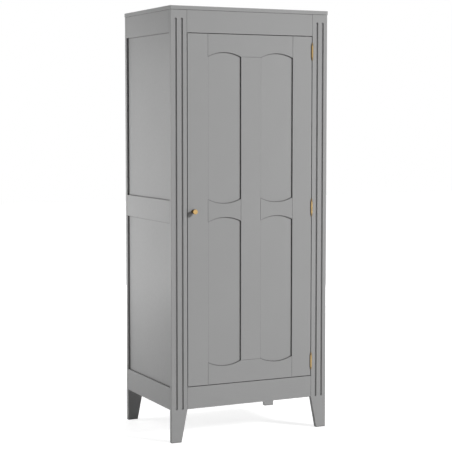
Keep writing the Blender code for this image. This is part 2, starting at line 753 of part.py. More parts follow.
def make_stop_and_catch():
    stop_back = STOP_FRONT + STOP_THICKNESS
    half = OPENING_HALF - STOP_END_MARGIN
    stop = board(
        "door_stop",
        (-half, STOP_FRONT, STOP_BOTTOM),
        (half, stop_back, TOP_RAIL_BOTTOM + STOP_SEAT),
        finish("door_stop_paint", GREY_PAINT, 0.5, 0.0),
    )
    plastic = finish("catch_plastic", PALE_PLASTIC, 0.45, 0.0)
    housing = board(
        "catch_housing",
        (CATCH_X - CATCH_WIDTH / 2, CATCH_FRONT, CATCH_BOTTOM),
        (CATCH_X + CATCH_WIDTH / 2, stop_back, CATCH_TOP),
        plastic,
    )
    half_width = MAGNET_WIDTH / 2
    half_height = MAGNET_HEIGHT / 2
    cut_box(
        housing,
        "magnet_pocket",
        (CATCH_X - half_width - FIT, CATCH_FRONT - OVERCUT, CATCH_CENTRE_Z - half_height - FIT),
        (CATCH_X + half_width + FIT, CATCH_FRONT + MAGNET_DEPTH + FIT, CATCH_CENTRE_Z + half_height + FIT),
    )
    board(
        "catch_magnet",
        (CATCH_X - half_width, CATCH_FRONT, CATCH_CENTRE_Z - half_height),
        (CATCH_X + half_width, CATCH_FRONT + MAGNET_DEPTH, CATCH_CENTRE_Z + half_height),
        finish("magnet_metal", STEEL, 0.4, 1.0),
    )
    middle_y = (CATCH_FRONT + stop_back) / 2
    seat = CATCH_BOTTOM - FIT
    reach = CATCH_HEIGHT + SMALL_SCREW_REACH
    hole_top = reach + FIT
    for side, side_name in ((-1, "left"), (1, "right")):
        where = (CATCH_X + side * CATCH_SCREW_SPACING / 2, middle_y, seat)
        for wood in (housing, stop):
            cut_round(wood, "screw_hole_" + side_name, SMALL_SCREW_RADIUS + FIT, -OVERCUT, hole_top, where)
        turned_piece(
            "catch_screw_" + side_name,
            screw_profile(reach, SMALL_SCREW_RADIUS, SMALL_SCREW_HEAD_RADIUS, SMALL_SCREW_HEAD_THICKNESS),
            finish("catch_screw_%s_metal" % side_name, STEEL, 0.35, 1.0),
            where,
            steps=SCREW_STEPS,
        )


def door_pivot():
    """The door hangs on an empty that stands on the hinge pins' axis."""
    pivot = bpy.data.objects.new("door_pivot", None)
    PARTS.objects.link(pivot)
    pivot.location = (PIN_X, PIN_Y, DOOR_MIDDLE)
    return pivot


def cut_edge_groove(obj, name, x_from, x_to):
    """The upright groove along a stile's or the muntin's edge, the full length of the piece."""
    x_low, x_high = sorted((x_from, x_to))
    cut_box(
        obj,
        name,
        (x_low, DOOR_PANEL_FRONT - FIT, DOOR_BOTTOM - OVERCUT),
        (x_high, DOOR_PANEL_BACK + FIT, DOOR_TOP + OVERCUT),
    )


def cut_rail_slot(rail, name, low, high):
    """The slot along a door rail's edge, deep enough for a square-cornered panel behind the arch."""
    cut_box(
        rail,
        name,
        (DOOR_LEFT, DOOR_PANEL_FRONT - FIT, low),
        (DOOR_RIGHT, DOOR_PANEL_BACK + FIT, high),
    )


def add_rail_tongues(rail, left, right, low, high):
    """The tongues that hold a door rail in the grooves beside it."""
    ends = (("left_tongue", left - PANEL_TUCK, left + OVERCUT), ("right_tongue", right - OVERCUT, right + PANEL_TUCK))
    for name, start, stop in ends:
        join_box(rail, name, (start, DOOR_PANEL_FRONT, low), (stop, DOOR_PANEL_BACK, high))


def make_door_frame(pivot):
    left = board(
        "door_stile_left",
        (DOOR_LEFT, FRONT, DOOR_BOTTOM),
        (STILE_INNER_LEFT, DOOR_BACK, DOOR_TOP),
        finish("door_stile_left_paint", GREY_PAINT, 0.5, 0.0),
        pivot,
    )
    cut_edge_groove(left, "groove", STILE_INNER_LEFT - GROOVE_DEPTH, STILE_INNER_LEFT + OVERCUT)
    right = board(
        "door_stile_right",
        (STILE_INNER_RIGHT, FRONT, DOOR_BOTTOM),
        (DOOR_RIGHT, DOOR_BACK, DOOR_TOP),
        finish("door_stile_right_paint", GREY_PAINT, 0.5, 0.0),
        pivot,
    )
    cut_edge_groove(right, "groove", STILE_INNER_RIGHT + GROOVE_DEPTH, STILE_INNER_RIGHT - OVERCUT)
    cut_hinge_seats(right, -1)

    rail_left = STILE_INNER_LEFT + FIT
    rail_right = STILE_INNER_RIGHT - FIT
    outline = [(rail_left, DOOR_TOP), (rail_left, DOOR_TOP_RAIL_END)]
    outline += arch_points(rail_left, MUNTIN_LEFT, DOOR_TOP_RAIL_END, ARCH_RISE)[1:]
    outline += [(MUNTIN_LEFT, DOOR_TOP_RAIL_END)]
    outline += arch_points(MUNTIN_RIGHT, rail_right, DOOR_TOP_RAIL_END, ARCH_RISE)
    outline += [(rail_right, DOOR_TOP_RAIL_END), (rail_right, DOOR_TOP)]
    look = finish("door_top_rail_paint", GREY_PAINT, 0.5, 0.0)
    top = flat_shape("door_top_rail", outline, FRONT, DOOR_BACK, look, pivot)
    slot = DOOR_TOP_RAIL_END + ARCH_RISE + GROOVE_DEPTH
    cut_rail_slot(top, "slot", DOOR_TOP_RAIL_END - OVERCUT, slot)
    add_rail_tongues(top, STILE_INNER_LEFT, STILE_INNER_RIGHT, slot + FIT, DOOR_TOP - TONGUE_SHOULDER)

    outline = [(rail_left, DOOR_BOTTOM), (rail_right, DOOR_BOTTOM), (rail_right, DOOR_BOTTOM_RAIL_END)]
    outline += arch_points(rail_right, MUNTIN_RIGHT, DOOR_BOTTOM_RAIL_END, -ARCH_RISE)[1:]
    outline += [(MUNTIN_RIGHT, DOOR_BOTTOM_RAIL_END)]
    outline += arch_points(MUNTIN_LEFT, rail_left, DOOR_BOTTOM_RAIL_END, -ARCH_RISE)
    outline += [(rail_left, DOOR_BOTTOM_RAIL_END)]
    look = finish("door_bottom_rail_paint", GREY_PAINT, 0.5, 0.0)
    bottom = flat_shape("door_bottom_rail", outline, FRONT, DOOR_BACK, look, pivot)
    slot = DOOR_BOTTOM_RAIL_END - ARCH_RISE - GROOVE_DEPTH
    cut_rail_slot(bottom, "slot", slot, DOOR_BOTTOM_RAIL_END + OVERCUT)
    add_rail_tongues(bottom, STILE_INNER_LEFT, STILE_INNER_RIGHT, DOOR_BOTTOM + TONGUE_SHOULDER, slot - FIT)

    make_muntin(pivot)
    make_mid_rails(pivot)


def make_muntin(pivot):
    """The upright between the door's two columns of panels, its tongues in the top and bottom rails."""
    low = DOOR_BOTTOM_RAIL_END + FIT
    high = DOOR_TOP_RAIL_END - FIT
    muntin = board(
        "door_muntin",
        (MUNTIN_LEFT, FRONT, low),
        (MUNTIN_RIGHT, DOOR_BACK, high),
        finish("door_muntin_paint", GREY_PAINT, 0.5, 0.0),
        pivot,
    )
    cut_edge_groove(muntin, "left_groove", MUNTIN_LEFT - OVERCUT, MUNTIN_LEFT + GROOVE_DEPTH)
    cut_edge_groove(muntin, "right_groove", MUNTIN_RIGHT + OVERCUT, MUNTIN_RIGHT - GROOVE_DEPTH)
    x_low = MUNTIN_LEFT + GROOVE_DEPTH + FIT
    x_high = MUNTIN_RIGHT - GROOVE_DEPTH - FIT
    reach = ARCH_RISE + PANEL_TUCK
    ends = (
        ("lower_tongue", DOOR_BOTTOM_RAIL_END - reach, low + OVERCUT),
        ("upper_tongue", high - OVERCUT, DOOR_TOP_RAIL_END + reach),
    )
    for name, start, stop in ends:
        join_box(muntin, name, (x_low, DOOR_PANEL_FRONT, start), (x_high, DOOR_PANEL_BACK, stop))


def make_mid_rails(pivot):
    """The short waisted rails between the upper and lower panels, one on each side of the muntin."""
    places = (("left", STILE_INNER_LEFT, MUNTIN_LEFT), ("right", MUNTIN_RIGHT, STILE_INNER_RIGHT))
    for side_name, x_low, x_high in places:
        name = "door_mid_rail_" + side_name
        outline = arch_points(x_low + FIT, x_high - FIT, DOOR_MID_RAIL_BOTTOM, ARCH_RISE)
        outline += [(x_high - FIT, DOOR_MID_RAIL_BOTTOM)]
        outline += arch_points(x_high - FIT, x_low + FIT, DOOR_MID_RAIL_TOP, -ARCH_RISE)
        outline += [(x_low + FIT, DOOR_MID_RAIL_TOP)]
        look = finish(name + "_paint", GREY_PAINT, 0.5, 0.0)
        rail = flat_shape(name, outline, FRONT, DOOR_BACK, look, pivot)
        low = DOOR_MID_RAIL_BOTTOM + ARCH_RISE + GROOVE_DEPTH
        high = DOOR_MID_RAIL_TOP - ARCH_RISE - GROOVE_DEPTH
        cut_rail_slot(rail, "lower_slot", DOOR_MID_RAIL_BOTTOM - OVERCUT, low)
        cut_rail_slot(rail, "upper_slot", high, DOOR_MID_RAIL_TOP + OVERCUT)
        add_rail_tongues(rail, x_low, x_high, low + FIT, high - FIT)


def make_door_panels(pivot):
    columns = (("left", STILE_INNER_LEFT, MUNTIN_LEFT), ("right", MUNTIN_RIGHT, STILE_INNER_RIGHT))
    tuck = ARCH_RISE + PANEL_TUCK
    rows = (
        ("upper", DOOR_MID_RAIL_TOP - tuck, DOOR_TOP_RAIL_END + tuck),
        ("lower", DOOR_BOTTOM_RAIL_END - tuck, DOOR_MID_RAIL_BOTTOM + tuck),
    )
    for row_name, low, high in rows:
        for side_name, x_low, x_high in columns:
            name = "door_panel_%s_%s" % (row_name, side_name)
            board(
                name,
                (x_low - PANEL_TUCK, DOOR_PANEL_FRONT, low),
                (x_high + PANEL_TUCK, DOOR_PANEL_BACK, high),
                finish(name + "_paint", GREY_PAINT, 0.5, 0.0),
                pivot,
            )


def make_leaf(name, wood_side, height, parent):
    """One leaf of a hinge: its plate, its share of the barrel, and on the frame leaf the lower tip."""
    face = OPENING_HALF if wood_side > 0 else DOOR_RIGHT
    xs = sorted((face - wood_side * HINGE_LEAF_PROUD, face + wood_side * (HINGE_LEAF_THICKNESS - HINGE_LEAF_PROUD)))
    half = HINGE_LEAF_HEIGHT / 2
    plate_half = half - FIT
    leaf = box(
        name,
        (xs[0], PIN_Y + KNUCKLE_RADIUS / 2, height - plate_half),
        (xs[1], FRONT + HINGE_LEAF_REACH, height + plate_half),
        PARTS,
        parent,
    )
    leaf.data.materials.append(finish(name + "_brass", BRASS, 0.3, 1.0))
    third = KNUCKLE_LENGTH / 2
    stretches = {"bottom": (-half, -third - FIT), "middle": (-third, third), "top": (third + FIT, half)}
    own = ("bottom", "top") if wood_side > 0 else ("middle",)
    room = KNUCKLE_RADIUS + KNUCKLE_CLEARANCE
    axis = (PIN_X, PIN_Y, height)
    for place, (low, high) in stretches.items():
        if place in own:
            continue
        cut_low = low - (2 * FIT if place != "bottom" else OVERCUT)
        cut_high = high + (2 * FIT if place != "top" else OVERCUT)
        tool = round_tool("%s_room_%s" % (name, place), room, cut_low, cut_high, axis, parent)
        combine(leaf, tool, "DIFFERENCE")
    for place in own:
        low, high = stretches[place]
        tool = round_tool("%s_knuckle_%s" % (name, place), KNUCKLE_RADIUS, low, high, axis, parent)
        combine(leaf, tool, "UNION")
    bore_low = -half - OVERCUT
    if wood_side > 0:
        tip = finial_profile()
        profile = [(0.0, -half + FIT)]
        profile += [(KNUCKLE_RADIUS - FIT, -half + FIT)]
        profile += [(radius, -half - along) for radius, along in reversed(tip[:-1])]
        tool = turned(name + "_lower_tip", profile, CUTTERS, axis, parent, KNUCKLE_STEPS)
        combine(leaf, tool, "UNION")
        bore_low = -half - FIT
    bore = round_tool(name + "_bore", PIN_RADIUS + FIT, bore_low, half + OVERCUT, axis, parent)
    combine(leaf, bore, "DIFFERENCE")
    hole_y = FRONT + (HINGE_LEAF_REACH + KNUCKLE_RADIUS) / 2
    for number, offset in enumerate((-HINGE_HOLE_OFFSET, HINGE_HOLE_OFFSET), start=1):
        where = ((xs[0] + xs[1]) / 2, hole_y, height + offset)
        sideways = (0.0, math.radians(90), 0.0)
        cut_round(leaf, "screw_hole_%d" % number, HINGE_HOLE_RADIUS, -OVERCUT, OVERCUT, where, sideways)
    smooth(leaf)


def make_hinges(pivot):
    half = HINGE_LEAF_HEIGHT / 2
    for place, height in HINGE_HEIGHTS.items():
        make_leaf("hinge_%s_frame_leaf" % place, 1, height, None)
        make_leaf("hinge_%s_door_leaf" % place, -1, height, pivot)
        profile = [(radius, half + FIT + along) for radius, along in finial_profile()]
        profile += [(PIN_RADIUS, half + FIT), (PIN_RADIUS, -half), (0.0, -half)]
        look = finish("hinge_%s_pin_brass" % place, BRASS, 0.3, 1.0)
        turned_piece("hinge_%s_pin" % place, profile, look, (PIN_X, PIN_Y, height), steps=KNUCKLE_STEPS)


def knob_profile():
    """A turned knob seen from its side: foot on the door at height 0, flat dished head at the far end."""
    head_low = KNOB_PROJECTION - KNOB_HEAD_THICKNESS
    bore = KNOB_SCREW_RADIUS + FIT
    bore_depth = KNOB_SCREW_REACH + KNOB_BORE_SPARE
    return [
        (0.0, KNOB_PROJECTION - KNOB_DISH_DEPTH),
        (KNOB_RADIUS * 0.52, KNOB_PROJECTION - KNOB_DISH_DEPTH),
        (KNOB_RADIUS * 0.66, KNOB_PROJECTION - KNOB_DISH_DEPTH / 8),
        (KNOB_RADIUS * 0.80, KNOB_PROJECTION),
        (KNOB_RADIUS * 0.93, KNOB_PROJECTION - 0.0006),
        (KNOB_RADIUS, KNOB_PROJECTION - 0.0020),
        (KNOB_RADIUS, head_low + 0.0020),
        (KNOB_RADIUS * 0.94, head_low + 0.0008),
        (KNOB_RADIUS * 0.80, head_low),
        (KNOB_NECK_RADIUS * 1.3, head_low - 0.0010),
        (KNOB_NECK_RADIUS, head_low - 0.0035),
        (KNOB_NECK_RADIUS, KNOB_BASE_THICKNESS + 0.0022),
        (KNOB_NECK_RADIUS * 1.15, KNOB_BASE_THICKNESS + 0.0006),
        (KNOB_BASE_RADIUS - 0.0006, KNOB_BASE_THICKNESS),
        (KNOB_BASE_RADIUS, KNOB_BASE_THICKNESS - 0.0008),
        (KNOB_BASE_RADIUS, FIT),
        (bore, FIT),
        (bore, bore_depth),
        (0.0, bore_depth),
    ]


def make_knob(pivot):
    stile = bpy.data.objects["door_stile_left"]
    outwards = (math.radians(90), 0.0, 0.0)
    turned_piece(
        "knob",
        knob_profile(),
        finish("knob_brass", BRASS, 0.28, 1.0),
        (KNOB_X, FRONT, KNOB_HEIGHT),
        pivot,
        turn=outwards,
    )
    reach = DOOR_THICKNESS + FIT + KNOB_SCREW_REACH
    seat = (KNOB_X, DOOR_BACK + FIT, KNOB_HEIGHT)
    hole = KNOB_SCREW_RADIUS + FIT
    cut_round(stile, "knob_hole", hole, -OVERCUT, DOOR_THICKNESS + OVERCUT, seat, outwards)
    turned_piece(
        "knob_screw",
        screw_profile(reach, KNOB_SCREW_RADIUS, KNOB_SCREW_HEAD_RADIUS, KNOB_SCREW_HEAD_THICKNESS),
        finish("knob_screw_metal", STEEL, 0.35, 1.0),
        seat,
        pivot,
        steps=KNUCKLE_STEPS,
        turn=outwards,
    )


def make_strike(pivot):
    """The steel plate on the back of the door that the magnet holds, and its screw."""
    stile = bpy.data.objects["door_stile_left"]
    plate = board(
        "strike_plate",
        (CATCH_X - STRIKE_WIDTH / 2, STRIKE_FRONT, CATCH_CENTRE_Z - STRIKE_HEIGHT / 2),
        (CATCH_X + STRIKE_WIDTH / 2, STRIKE_FRONT + STRIKE_THICKNESS, CATCH_CENTRE_Z + STRIKE_HEIGHT / 2),
        finish("strike_metal", STEEL, 0.35, 1.0),
        pivot,
        STRIKE_THICKNESS / 4,
    )
    outwards = (math.radians(90), 0.0, 0.0)
    where = (CATCH_X + (STRIKE_WIDTH + MAGNET_WIDTH) / 4, STRIKE_FRONT + STRIKE_THICKNESS, CATCH_CENTRE_Z)
    reach = STRIKE_THICKNESS + FIT + SMALL_SCREW_REACH
    cut_round(stile, "strike_hole", SMALL_SCREW_RADIUS + FIT, -OVERCUT, reach + FIT, where, outwards)
    sunk = turned(
        "strike_plate_screw_seat",
        sunk_screw_profile(reach, FIT, OVERCUT),
        CUTTERS,
        where,
        pivot,
        SCREW_STEPS,
        outwards,
    )
    combine(plate, sunk, "DIFFERENCE")
    turned_piece(
        "strike_plate_screw",
        sunk_screw_profile(reach, 0.0, 0.0),
        finish("strike_plate_screw_metal", STEEL, 0.35, 1.0),
        where,
        pivot,
        steps=SCREW_STEPS,
        turn=outwards,
    )


def main():
    make_top_board()
    make_posts()
    make_front_and_back_frames()
    make_side_frames()
    make_floor()
    make_shelf_and_rail()
    make_stop_and_catch()
    pivot = door_pivot()
    make_door_frame(pivot)
    make_door_panels(pivot)
    make_hinges(pivot)
    make_knob(pivot)
    make_strike(pivot)


main()
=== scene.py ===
import json
import math

import bmesh
import bpy
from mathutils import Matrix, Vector


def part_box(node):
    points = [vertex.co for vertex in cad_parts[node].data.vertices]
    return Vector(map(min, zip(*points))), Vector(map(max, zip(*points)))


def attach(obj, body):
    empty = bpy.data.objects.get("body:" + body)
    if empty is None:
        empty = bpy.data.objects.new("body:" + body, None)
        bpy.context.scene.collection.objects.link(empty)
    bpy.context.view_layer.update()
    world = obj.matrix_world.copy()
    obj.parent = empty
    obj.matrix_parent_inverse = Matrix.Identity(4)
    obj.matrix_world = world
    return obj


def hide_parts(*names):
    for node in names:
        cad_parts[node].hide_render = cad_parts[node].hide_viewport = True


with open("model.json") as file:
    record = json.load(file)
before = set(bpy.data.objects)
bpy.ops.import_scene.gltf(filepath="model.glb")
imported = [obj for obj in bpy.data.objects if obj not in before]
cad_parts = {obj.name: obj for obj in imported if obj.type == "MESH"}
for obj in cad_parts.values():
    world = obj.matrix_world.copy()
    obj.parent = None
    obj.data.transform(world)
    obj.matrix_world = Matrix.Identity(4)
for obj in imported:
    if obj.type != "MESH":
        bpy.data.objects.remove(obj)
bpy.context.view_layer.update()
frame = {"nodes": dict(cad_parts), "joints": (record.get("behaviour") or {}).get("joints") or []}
NODES = frame["nodes"]
PIN = Vector(frame["joints"][0]["pos_m"])
MM = 0.001

bl_info = {
    "name": "Painted Single-Door Wardrobe",
    "version": (1, 0, 0),
    "blender": (4, 5, 0),
    "location": "3D Viewport > Sidebar > Wardrobe",
    "description": "Finishes a painted single-door wardrobe and adds its brassware, screws and a studio",
    "category": "Object",
}

HINGES = ("top", "middle", "bottom")
SIDES = ("left", "right")

POSTS = ["%s_post_%s" % (end, side) for end in ("front", "rear") for side in SIDES]
DOOR_UPRIGHTS = ["door_stile_left", "door_stile_right", "door_muntin"]
CARCASS_RAILS = ["front_top_rail", "front_apron", "back_top_rail", "back_bottom_rail"]
DOOR_RAILS = ["door_top_rail", "door_mid_rail_left", "door_mid_rail_right", "door_bottom_rail"]
SIDE_RAILS = ["side_%s_%s_rail" % (side, place) for side in SIDES for place in ("top", "mid", "bottom")]
SIDE_PANELS = ["side_%s_panel_%s" % (side, place) for side in SIDES for place in ("upper", "lower")]
DOOR_PANELS = ["door_panel_%s_%s" % (place, side) for place in ("upper", "lower") for side in SIDES]
INSIDE_BATTENS = ["%s_cleat_%s" % (kind, side) for kind in ("shelf", "floor") for side in SIDES]


def linear(hex_colour):
    """An sRGB colour such as A0A0A0, as the linear red, green and blue that Blender's sockets take."""
    channels = []
    for start in (0, 2, 4):
        value = int(hex_colour[start:start + 2], 16) / 255
        channels.append(value / 12.92 if value <= 0.04045 else ((value + 0.055) / 1.055) ** 2.4)
    return tuple(channels)


def colour_property(name, description, hex_colour):
    return bpy.props.FloatVectorProperty(
        name=name, description=description, subtype="COLOR", size=3, min=0, max=1, default=linear(hex_colour)
    )


def length_property(name, description, metres):
    return bpy.props.FloatProperty(
        name=name,
        description=description,
        default=metres,
        min=0,
        precision=5,
        subtype="DISTANCE",
        unit="LENGTH",
    )


def power_property(name, description, watts):
    return bpy.props.FloatProperty(name=name, description=description, default=watts, min=0, unit="POWER")


def angle_property(name, description, degrees):
    return bpy.props.FloatProperty(
        name=name, description=description, default=math.radians(degrees), subtype="ANGLE", unit="ROTATION"
    )


class WardrobeColours(bpy.types.PropertyGroup):
    """Colours of the wardrobe's finishes"""

    paint: colour_property("Paint", "Grey satin enamel of all the woodwork", "A0A0A0")
    brass: colour_property("Brass", "Lacquered brass of the hinges and the knob", "C3A26D")
    brass_shade: colour_property("Brass shade", "Where the brass has dulled under its lacquer", "AC9264")
    # The pin and knob patina colours are partly patina and partly painted shade: they darken the sides of
    # turned brass and the knob's neck in the shadow of its head.
    pin_patina_and_shade: colour_property("Pin patina", "Light brown on the turned sides of the hinge pins", "8A7352")
    knob_patina_and_shade: colour_property("Knob patina", "Dark brown on the knob's unbuffed neck", "302418")
    zinc: colour_property("Zinc", "Bright zinc plating of the small screws and the strike plate", "C4C6C9")
    chrome: colour_property("Chrome", "Chrome plating of the hanging rail", "D4D5D6")
    catch: colour_property("Catch", "Pale moulded plastic of the magnetic catch", "D8D5CC")
    ferrite: colour_property("Ferrite", "Dark ceramic magnet", "3A3A3D")
    floor: colour_property("Floor", "Pale studio floor", "C4C4C4")


class WardrobeSizes(bpy.types.PropertyGroup):
    """Sizes of the fine pieces and of the finishes' patterns"""

    eased_edge: length_property("Eased edge", "Radius that sanding leaves on the wood's edges", 0.9 * MM)
    # How far the painted shade of inner corners, joints and recesses reaches
    painted_shade_reach: length_property("Corner dust", "How far the dark lines reach out of inner corners", 6.0 * MM)
    orange_peel: length_property("Orange peel", "Spacing of the ripples that spraying leaves", 2.4 * MM)
    grain_width: length_property("Grain width", "Spacing of the grain that shows in the enamel", 3.0 * MM)
    grain_length: length_property("Grain length", "Length of one streak of that grain", 110 * MM)
    knuckle_radius: length_property("Knuckle radius", "Outer radius of a hinge's barrel", 4.0 * MM)
    pin_radius: length_property("Pin radius", "Radius of a hinge's pin", 1.5 * MM)
    tip_length: length_property("Tip length", "Length of the pointed tip at each end of a hinge", 13.0 * MM)
    leaf_thickness: length_property("Leaf thickness", "Thickness of a hinge's leaf", 1.2 * MM)
    leaf_proud: length_property("Leaf proud", "How far a hinge's leaf stands out of the wood", 0.6 * MM)
    leaf_screw_radius: length_property("Leaf screw radius", "Radius of a hinge screw's head", 2.8 * MM)
    wood_screw_radius: length_property("Wood screw radius", "Radius of a batten screw's head", 3.8 * MM)


class WardrobeStudio(bpy.types.PropertyGroup):
    """Lamps and camera of the studio"""

    key_power: power_property("Key", "Power of the high lamp in front on the right", 1805)
    low_right_power: power_property("Low right", "Power of the small lamp that fills from the right", 9.0)
    side_power: power_property("Side", "Power of the large lamp behind on the left", 29.3)
    tall_side_power: power_property("Tall side", "Power of the tall lamp close to the left side", 3.56)
    near_side_power: power_property("Near side", "Power of the small lamp closest to the left side", 0.50)
    low_side_power: power_property("Low side", "Power of the small lamp low on the left", 0.31)
    rear_power: power_property("Rear", "Power of the lamp behind, for the back and the right side", 90)
    top_power: power_property("Top", "Power of the lamp above, for the top board", 28)
    ambient: bpy.props.FloatProperty(
        name="Ambient", description="Strength of the light that comes from all round", default=0.0, min=0
    )
    lens: bpy.props.FloatProperty(
        name="Lens", description="Focal length on a 36 mm wide sensor, in millimetres", default=106.88, min=1
    )
    camera_turn: angle_property("Camera turn", "How far the camera is turned to the right", 25.71)
    camera_tilt: angle_property("Camera tilt", "How far the camera looks down from level", 4.22)
    camera_shift: bpy.props.FloatProperty(
        name="Camera shift", description="Vertical shift, as a share of the picture's width", default=-0.02
    )


# Node trees

WHITE = (1.0, 1.0, 1.0, 1.0)
# Most of a noise lies in this range, so a Map Range node that spreads a noise starts from it.
NOISE_RANGE = {"From Min": 0.3, "From Max": 0.7}


def add_node(tree, kind, inputs=None, **settings):
    """Add a node with its settings. Each input is given a value, or the node or output that feeds it."""
    made = tree.nodes.new(kind)
    for key, value in settings.items():
        setattr(made, key, value)
    for key, value in (inputs or {}).items():
        if isinstance(key, int):
            socket = made.inputs[key]
        else:
            socket = next(choice for choice in made.inputs if choice.enabled and choice.name == key)
        if isinstance(value, bpy.types.Node):
            value = next(choice for choice in value.outputs if choice.enabled)
        if isinstance(value, bpy.types.NodeSocket):
            tree.links.new(value, socket)
        else:
            socket.default_value = value
    return made


def new_material(name):
    """A node material whose tree is still empty, and that tree."""
    material = bpy.data.materials.new(name)
    material.use_nodes = True
    tree = material.node_tree
    tree.nodes.clear()
    return material, tree


def rgba(colour, brightness=1.0):
    """A colour as a colour socket takes it, made lighter or darker."""
    return (colour[0] * brightness, colour[1] * brightness, colour[2] * brightness, 1.0)


def piece_coordinates(tree):
    """A piece's own place in metres, moved by a different amount on each piece so that no two match."""
    place = add_node(tree, "ShaderNodeTexCoord").outputs["Object"]
    chance = add_node(tree, "ShaderNodeObjectInfo").outputs["Random"]
    step = add_node(tree, "ShaderNodeVectorMath", {0: (3.1, 5.7, 9.3), "Scale": chance}, operation="SCALE")
    return add_node(tree, "ShaderNodeVectorMath", {0: place, 1: step}, operation="ADD")


def streaked_noise(tree, place, spacings, **inputs):
    """A noise drawn out along an axis, from its spacing along X, Y and Z in metres."""
    scales = [1 / spacing for spacing in spacings]
    stretched = add_node(tree, "ShaderNodeMapping", {"Vector": place, "Scale": scales})
    return add_node(tree, "ShaderNodeTexNoise", {"Vector": stretched, "Scale": 1.0, **inputs})


def mottled(tree, noise, first, second):
    """A shade that a noise takes from one colour to the other."""
    share = add_node(tree, "ShaderNodeMapRange", {"Value": noise, **NOISE_RANGE})
    return add_node(tree, "ShaderNodeMix", {"Factor": share, "A": first, "B": second}, data_type="RGBA")


def eased_edges(tree, radius, shade, worn_colour, wear):
    """Run the normals softly over the edges and wear the shade there. Returns the shade and the normals."""
    bevel = add_node(tree, "ShaderNodeBevel", {"Radius": radius}, samples=6)
    flat = add_node(tree, "ShaderNodeNewGeometry").outputs["Normal"]
    match = add_node(tree, "ShaderNodeVectorMath", {0: bevel, 1: flat}, operation="DOT_PRODUCT")
    mask = add_node(
        tree,
        "ShaderNodeMapRange",
        {"Value": match, "From Min": 0.90, "From Max": 1.0, "To Min": wear, "To Max": 0.0},
    )
    worn = add_node(tree, "ShaderNodeMix", {"Factor": mask, "A": shade, "B": worn_colour}, data_type="RGBA")
    return worn, bevel


# Finishes


def satin_enamel(name, grain_axis, sizes, colours):
    """Satin water-borne enamel sprayed on sanded pine, or on fibreboard where there is no grain axis.

    The eye gets an even, neutral grey with a soft wide sheen, a faint orange peel from the spray gun, the
    long streaks of the wood telegraphing through, slightly thinner, paler paint along the eased edges, and
    painted shade: dark lines in the inner corners, joints and recesses, as far as the ambient occlusion
    reaches. The ripple and the grain are drawn a little coarser than the real ones, so that they show.
    """
    material, tree = new_material(name)
    place = piece_coordinates(tree)
    paint = colours.paint
    mottle = add_node(tree, "ShaderNodeTexNoise", {"Vector": place, "Scale": 1 / (280 * MM)})
    shade = mottled(tree, mottle, rgba(paint, 0.985), rgba(paint, 1.015))
    grain = None
    if grain_axis is not None:
        spacings = [sizes.grain_width] * 3
        spacings["XYZ".index(grain_axis)] = sizes.grain_length
        grain = streaked_noise(tree, place, spacings, Detail=3.0, Roughness=0.6)
        streaks = add_node(tree, "ShaderNodeMapRange", {"Value": grain, **NOISE_RANGE, "To Max": 0.030})
        shade = add_node(
            tree, "ShaderNodeMix", {"Factor": streaks, "A": shade, "B": rgba(paint, 0.55)}, data_type="RGBA"
        )
    # Painted shade: ambient occlusion darkens the paint almost to black in inner corners, joints and
    # recesses.
    openness = add_node(tree, "ShaderNodeAmbientOcclusion", {"Distance": sizes.painted_shade_reach}, samples=8)
    painted_shade = add_node(
        tree,
        "ShaderNodeMapRange",
        {"Value": openness.outputs["AO"], "From Min": 0.45, "From Max": 0.95, "To Min": 0.90, "To Max": 0.0},
    )
    dark = rgba(paint, 0.12)
    shade = add_node(tree, "ShaderNodeMix", {"Factor": painted_shade, "A": shade, "B": dark}, data_type="RGBA")
    shade, normal = eased_edges(tree, sizes.eased_edge, shade, rgba(paint, 1.25), wear=0.22)
    if grain is not None:
        normal = add_node(tree, "ShaderNodeBump", {"Distance": 0.030 * MM, "Height": grain, "Normal": normal})
    peel = add_node(
        tree, "ShaderNodeTexNoise", {"Vector": place, "Scale": 1 / sizes.orange_peel, "Detail": 1.0}
    )
    normal = add_node(tree, "ShaderNodeBump", {"Distance": 0.018 * MM, "Height": peel, "Normal": normal})
    haze = add_node(tree, "ShaderNodeTexNoise", {"Vector": place, "Scale": 1 / (12 * MM), "Detail": 3.0})
    gloss = add_node(
        tree, "ShaderNodeMapRange", {"Value": haze, **NOISE_RANGE, "To Min": 0.40, "To Max": 0.50}
    )
    surface = {"IOR": 1.48, "Metallic": 0.0, "Base Color": shade, "Roughness": gloss, "Normal": normal}
    shader = add_node(tree, "ShaderNodeBsdfPrincipled", surface)
    add_node(tree, "ShaderNodeOutputMaterial", {"Surface": shader})
    return material


